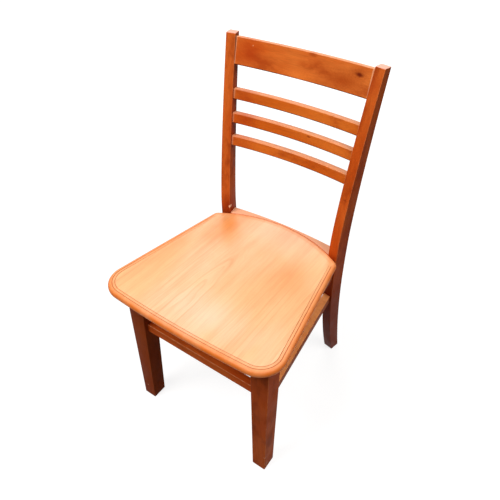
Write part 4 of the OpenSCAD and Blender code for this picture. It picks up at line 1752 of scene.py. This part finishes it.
@dataclass
class Fasteners:
    """The corner blocks, and the wood screws that hold the seat and the front blocks."""

    frame: RailFrame
    block_l: float = 0.080
    block_h: float = 0.028
    screw_inset: float = 0.028
    screw_out: float = 0.012
    bite: float = 0.014
    leg_bite: float = 0.018
    block_lap: float = 0.008
    head_d: float = 0.008
    shank_d: float = 0.004
    head_h: float = 0.0026
    neck_lap: float = 0.0003
    slot: Point = (0.0044, 0.0009, 0.0014)
    pitch: float = 0.0018
    thread_share: float = 0.4
    tip_length: float = 3.0
    tip_share: float = 0.25
    sharp: float = 35.0

    def tree(self) -> bpy.types.NodeTree:
        """Geometry tree that sets a cross-slotted wood screw on each given point.

        Returns:
            The tree.
        """
        sizes = (
            "Length", "Head Radius", "Neck Radius", "Head Height", "Head Base", "Shank Radius",
            "Pitch",
        )
        graph = GeometryGraph(
            "wood_screws", Geometry=("Places",), Float=sizes, Vector=("Slot",), Material=("Steel",)
        )
        screw = graph.tree.nodes.new("GeometryNodeJoinGeometry")
        for part in (self.threaded_shank(graph), self.slotted_head(graph)):
            graph.feed(screw.inputs["Geometry"], part)
        aim = {"Vector": graph.stored("aim", "FLOAT_VECTOR")}
        turn = graph.add("FunctionNodeAlignRotationToVector", aim, axis="Z")
        placing = {
            "Points": graph.given["Places"],
            "Instance": screw.outputs["Geometry"],
            "Rotation": turn,
        }
        placed = graph.add("GeometryNodeInstanceOnPoints", placing)
        return graph.close(placed, graph.given["Steel"])

    def slotted_head(self, graph: GeometryGraph) -> Any:
        """Head of the screw with a cross slot in its face.

        Args:
            graph: Tree that is being built.

        Returns:
            The head's geometry.
        """
        given = graph.given
        base = graph.add("ShaderNodeCombineXYZ", {"Z": given["Head Base"]})
        cone = {
            "Vertices": 40, "Radius Bottom": given["Head Radius"],
            "Radius Top": given["Neck Radius"], "Depth": given["Head Height"],
        }
        head = graph.moved(graph.add("GeometryNodeMeshCone", cone, "Mesh"), Translation=base)
        slot = graph.add("GeometryNodeMeshCube", {"Size": given["Slot"]}, "Mesh")
        slot = graph.moved(slot, Translation=base)
        for tool in (slot, graph.moved(slot, Rotation=(0.0, 0.0, math.pi / 2))):
            cut = {"Mesh 1": head, "Mesh 2": tool}
            kind = "GeometryNodeMeshBoolean"
            head = graph.add(kind, cut, "Mesh", operation="DIFFERENCE", solver="EXACT")
        return head

    def threaded_shank(self, graph: GeometryGraph) -> Any:
        """Shank whose skin rises and falls along a helix, down to a point.

        Args:
            graph: Tree that is being built.

        Returns:
            The shank's geometry.
        """
        given = graph.given
        length, radius = given["Length"], given["Shank Radius"]
        neck = graph.math("ADD", given["Head Base"], given["Head Height"])
        start = graph.math("SUBTRACT", neck, self.neck_lap)
        run = graph.math("SUBTRACT", length, start)
        tube = {"Vertices": 24, "Side Segments": 120, "Radius": radius, "Depth": run}
        middle = graph.math("ADD", start, graph.math("MULTIPLY", run, 0.5))
        lift = graph.add("ShaderNodeCombineXYZ", {"Z": middle})
        shank = graph.moved(graph.add("GeometryNodeMeshCylinder", tube, "Mesh"), Translation=lift)
        spot = graph.add("GeometryNodeInputPosition")
        parts = graph.split(spot)
        around = graph.math("ARCTAN2", parts["Y"], parts["X"])
        around = graph.math("DIVIDE", around, 2 * math.pi)
        turns = graph.math("SUBTRACT", graph.math("DIVIDE", parts["Z"], given["Pitch"]), around)
        root = graph.math("MULTIPLY", graph.math("PINGPONG", turns, 0.5), self.thread_share)
        root = graph.math("SUBTRACT", 1.0, root)
        left = graph.math("DIVIDE", graph.math("SUBTRACT", length, parts["Z"]), radius)
        taper = graph.remap(left, 0.0, self.tip_length, self.tip_share, 1.0)
        share = graph.math("MULTIPLY", root, taper)
        narrowed = graph.add("ShaderNodeCombineXYZ", {"X": share, "Y": share, "Z": 1.0})
        skin = {"Geometry": shank, "Position": graph.vector("MULTIPLY", spot, narrowed)}
        return graph.add("GeometryNodeSetPosition", skin)

    def inner_corners(self) -> tuple[np.ndarray, np.ndarray]:
        """Corners between the aprons on the right.

        Returns:
            The corner at the front and the one at the rear.
        """
        frame = self.frame
        inset = frame.side_setback + frame.apron.thickness
        front_y = frame.front.face_y + frame.front_setback + frame.apron.thickness
        rear_x = float(frame.rear.place(frame.apron.top)[0]) - inset
        rear_y = frame.rear.waist_y + frame.rear_back - frame.rear_bow - frame.rear_t
        return np.array([frame.front.half_span - inset, front_y]), np.array([rear_x, rear_y])

    def seat_places(self) -> list[Point]:
        """Places of the eight seat screws' heads, in the blocks' undersides.

        Returns:
            The places.
        """
        front, rear = self.inner_corners()
        along = self.block_l - self.screw_inset
        z = self.frame.apron.top - self.block_h
        return [
            (side.value * float(x), float(y), z)
            for dx, dy in ((-along, self.screw_out), (-self.screw_out, along))
            for x, y in (front + [dx, dy], rear + [dx, -dy])
            for side in Side
        ]

    def leg_places(self) -> tuple[list[Point], list[Point], float]:
        """Screws from the front blocks into the front legs.

        Returns:
            Their places, their directions and their length.
        """
        front = self.frame.front
        z = self.frame.apron.top - self.block_h / 2
        edge = np.array([front.inner_x(z), front.back_y(z)])
        run = self.inner_corners()[0] + [-self.block_l, -self.block_lap] - edge
        slant = math.sqrt(0.5)
        grip = float(run[1] - run[0]) * slant
        x, y = (edge + grip * slant * np.array([-1.0, 1.0])).tolist()
        places = [(side.value * x, y, z) for side in Side]
        aims = [(side.value * slant, -slant, 0.0) for side in Side]
        return places, aims, grip + self.leg_bite

    def screws(
        self, name: str, tree: bpy.types.NodeTree, places: list[Point], aims: list[Point],
        length: float, sunk: bool, steel: bpy.types.Material,
    ) -> bpy.types.Mesh:
        """Set screws on their places.

        Args:
            name: Name of the mesh.
            tree: Geometry tree of the screws.
            places: Places of the heads.
            aims: Direction of each screw, from its head to its point.
            length: Length under the head's face, or under the head where it isn't sunk.
            sunk: Whether the heads are countersunk.
            steel: Their material.

        Returns:
            The mesh in place.
        """
        mesh = bpy.data.meshes.new(name)
        mesh.from_pydata(places, [], [])
        layer = mesh.attributes.new("aim", "FLOAT_VECTOR", "POINT")
        layer.data.foreach_set("vector", np.array(aims, np.float32).ravel())
        long, wide, deep = self.slot
        values = {
            "Length": length, "Pitch": self.pitch, "Shank Radius": self.shank_d / 2,
            "Head Radius": self.head_d / 2, "Head Height": self.head_h,
            "Neck Radius": (self.shank_d if sunk else self.head_d) / 2,
            "Head Base": 0.0 if sunk else -self.head_h,
            "Slot": (long, wide, 2 * deep), "Steel": steel,
        }
        return settle(grown(name, mesh, tree, values), self.sharp)

    def build(self, shop: Workshop) -> None:
        """Dress the corner blocks and set the screws."""
        for end in ("front", "rear"):
            for side in Side:
                shop.dress(f"corner_block_{end}_{side.name.lower()}", shop.finishes.block)
        tree, screw = self.tree(), shop.finishes.screw
        seat = self.seat_places()
        up = [(0.0, 0.0, 1.0)] * len(seat)
        for node, places, aims, length, sunk in (
            ("seat_screws", seat, up, self.block_h + self.bite, True),
            ("corner_block_screws", *self.leg_places(), False),
        ):
            steel = shop.finishes.of(screw)
            mesh = self.screws(node, tree, places, aims, length, sunk, steel)
            shop.piece(f"{node}_steel", mesh, screw, node)


@dataclass(frozen=True)
class Lamp:
    """A soft square lamp: its place, the point it faces, its side, its watts and its colour."""

    name: str
    at: Point
    aim: Point
    size: float
    power: float
    tint: Point

    def hang(self) -> None:
        """Put the lamp in the scene."""
        data = bpy.data.lights.new(self.name, "AREA")
        data.shape = "SQUARE"
        data.size = self.size
        data.energy = self.power
        data.color = self.tint
        obj = put(self.name, data)
        obj.location = self.at
        facing = Vector(self.aim) - Vector(self.at)
        obj.rotation_euler = facing.to_track_quat("-Z", "Y").to_euler()


@dataclass
class Studio:
    """The plain floor, the soft lights and the camera at the photograph's angle."""

    camera_at: Point = (0.52884, -0.76998, 1.27617)
    azimuth: float = math.radians(34.478)
    elevation: float = math.radians(38.913)
    roll: float = math.radians(0.562)
    lens: float = 37.293
    sensor: float = 36.0
    shift: tuple[float, float] = (0.0062, -0.0251)
    room: float = 0.15
    floor_size: float = 12.0
    matt: float = 0.2
    pale: float = 0.3
    glow: tuple[float, float] = (0.83, 1.0)
    glow_reach: tuple[float, float] = (0.7, 2.6)
    lamps: tuple[Lamp, ...] = (
        Lamp("key", (-0.8, -1.6, 3.1), (0.0, 0.0, 0.45), 1.4, 74.0, (1.0, 0.97, 0.94)),
        Lamp("fill", (1.5, -0.3, 2.9), (0.1, 0.0, 0.35), 1.2, 38.0, (1.0, 0.97, 0.94)),
        Lamp("window", (-1.3, 2.5, 2.6), (0.0, 0.05, 0.45), 2.2, 30.0, (1.0, 0.96, 0.95)),
    )

    def camera(self) -> None:
        """Make the camera."""
        az, el = self.azimuth, self.elevation
        back = Vector((math.sin(az) * math.cos(el), -math.cos(az) * math.cos(el), math.sin(el)))
        right = (-back).cross(Vector((0, 0, 1))).normalized()
        up = right.cross(-back)
        across = right * math.cos(self.roll) + up * math.sin(self.roll)
        above = up * math.cos(self.roll) - right * math.sin(self.roll)
        data = bpy.data.cameras.new("camera")
        data.lens = self.lens
        data.sensor_width = self.sensor
        data.shift_x, data.shift_y = self.shift
        obj = put("camera", data)
        turned = Matrix((across, above, back)).transposed().to_4x4()
        obj.matrix_world = Matrix.Translation(self.camera_at) @ turned
        bpy.context.scene.camera = obj

    def seen(self, graph: Graph) -> Any:
        """Find the rays that see the pale background: those of the camera, a gloss or a glass.

        Args:
            graph: Tree that is being built.

        Returns:
            1 for such a ray and 0 for any other.
        """
        path = graph.add("ShaderNodeLightPath").node.outputs
        either = graph.math("ADD", path["Is Camera Ray"], path["Is Glossy Ray"])
        return graph.math("ADD", either, path["Is Transmission Ray"], clamp=True)

    def floor(self) -> None:
        """Lay the pale floor, near white to the camera, which keeps the chair's shadow."""
        work = bmesh.new()
        bmesh.ops.create_grid(work, x_segments=8, y_segments=8, size=self.floor_size)
        mesh = bpy.data.meshes.new("floor")
        work.to_mesh(mesh)
        work.free()
        obj = put("floor", mesh)
        graph = ShaderGraph("pale_floor")
        matt, pale = (
            graph.add("ShaderNodeBsdfDiffuse", {"Color": (grey, grey, grey, 1.0)})
            for grey in (self.matt, self.pale)
        )
        away = graph.vector("LENGTH", graph.spot)
        strength = graph.remap(away, *self.glow_reach, *self.glow)
        glow = graph.add("ShaderNodeEmission", {"Color": WHITE, "Strength": strength})
        lit = graph.add("ShaderNodeAddShader", {0: pale, 1: glow})
        both = graph.add("ShaderNodeMixShader", {0: self.seen(graph), 1: matt, 2: lit})
        graph.add("ShaderNodeOutputMaterial", {"Surface": both})
        mesh.materials.append(graph.material)
        obj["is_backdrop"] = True

    def sky(self) -> None:
        """Light the room softly, with white behind the chair."""
        world = bpy.data.worlds.new("room")
        world.use_nodes = True
        bpy.context.scene.world = world
        graph = Graph(world.node_tree)
        soft, white = (
            graph.add("ShaderNodeBackground", {"Color": WHITE, "Strength": strength})
            for strength in (self.room, 1.0)
        )
        both = graph.add("ShaderNodeMixShader", {0: self.seen(graph), 1: soft, 2: white})
        graph.add("ShaderNodeOutputWorld", {"Surface": both})

    def build(self) -> None:
        """Set the whole stage."""
        self.camera()
        self.floor()
        self.sky()
        for lamp in self.lamps:
            lamp.hang()
        bpy.context.scene.view_settings.view_transform = "Standard"


def corners(box: Iterable[Vector]) -> list[list[float]]:
    """Write a box as plain lists of numbers."""
    return [[round(float(v), 6) for v in corner] for corner in box]


def main() -> None:
    """Build the chair's looks in order and report each piece."""
    logging.basicConfig(level=logging.INFO, format="%(name)s: %(message)s")
    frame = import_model()
    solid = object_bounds()
    shop = Workshop(frame)
    rear, front = RearLegs(), FrontLegs()
    seat = SeatPanel(rear)
    rails = RailFrame(rear, front, seat)
    for assembly in (rear, front, LadderBack(rear), seat, rails, Fasteners(rails)):
        assembly.build(shop)
        LOG.info("%s is built", type(assembly).__name__)
    Studio().build()
    {"cad": corners(solid), "visual": corners(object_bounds())}


if __name__ == "__main__":
    main()
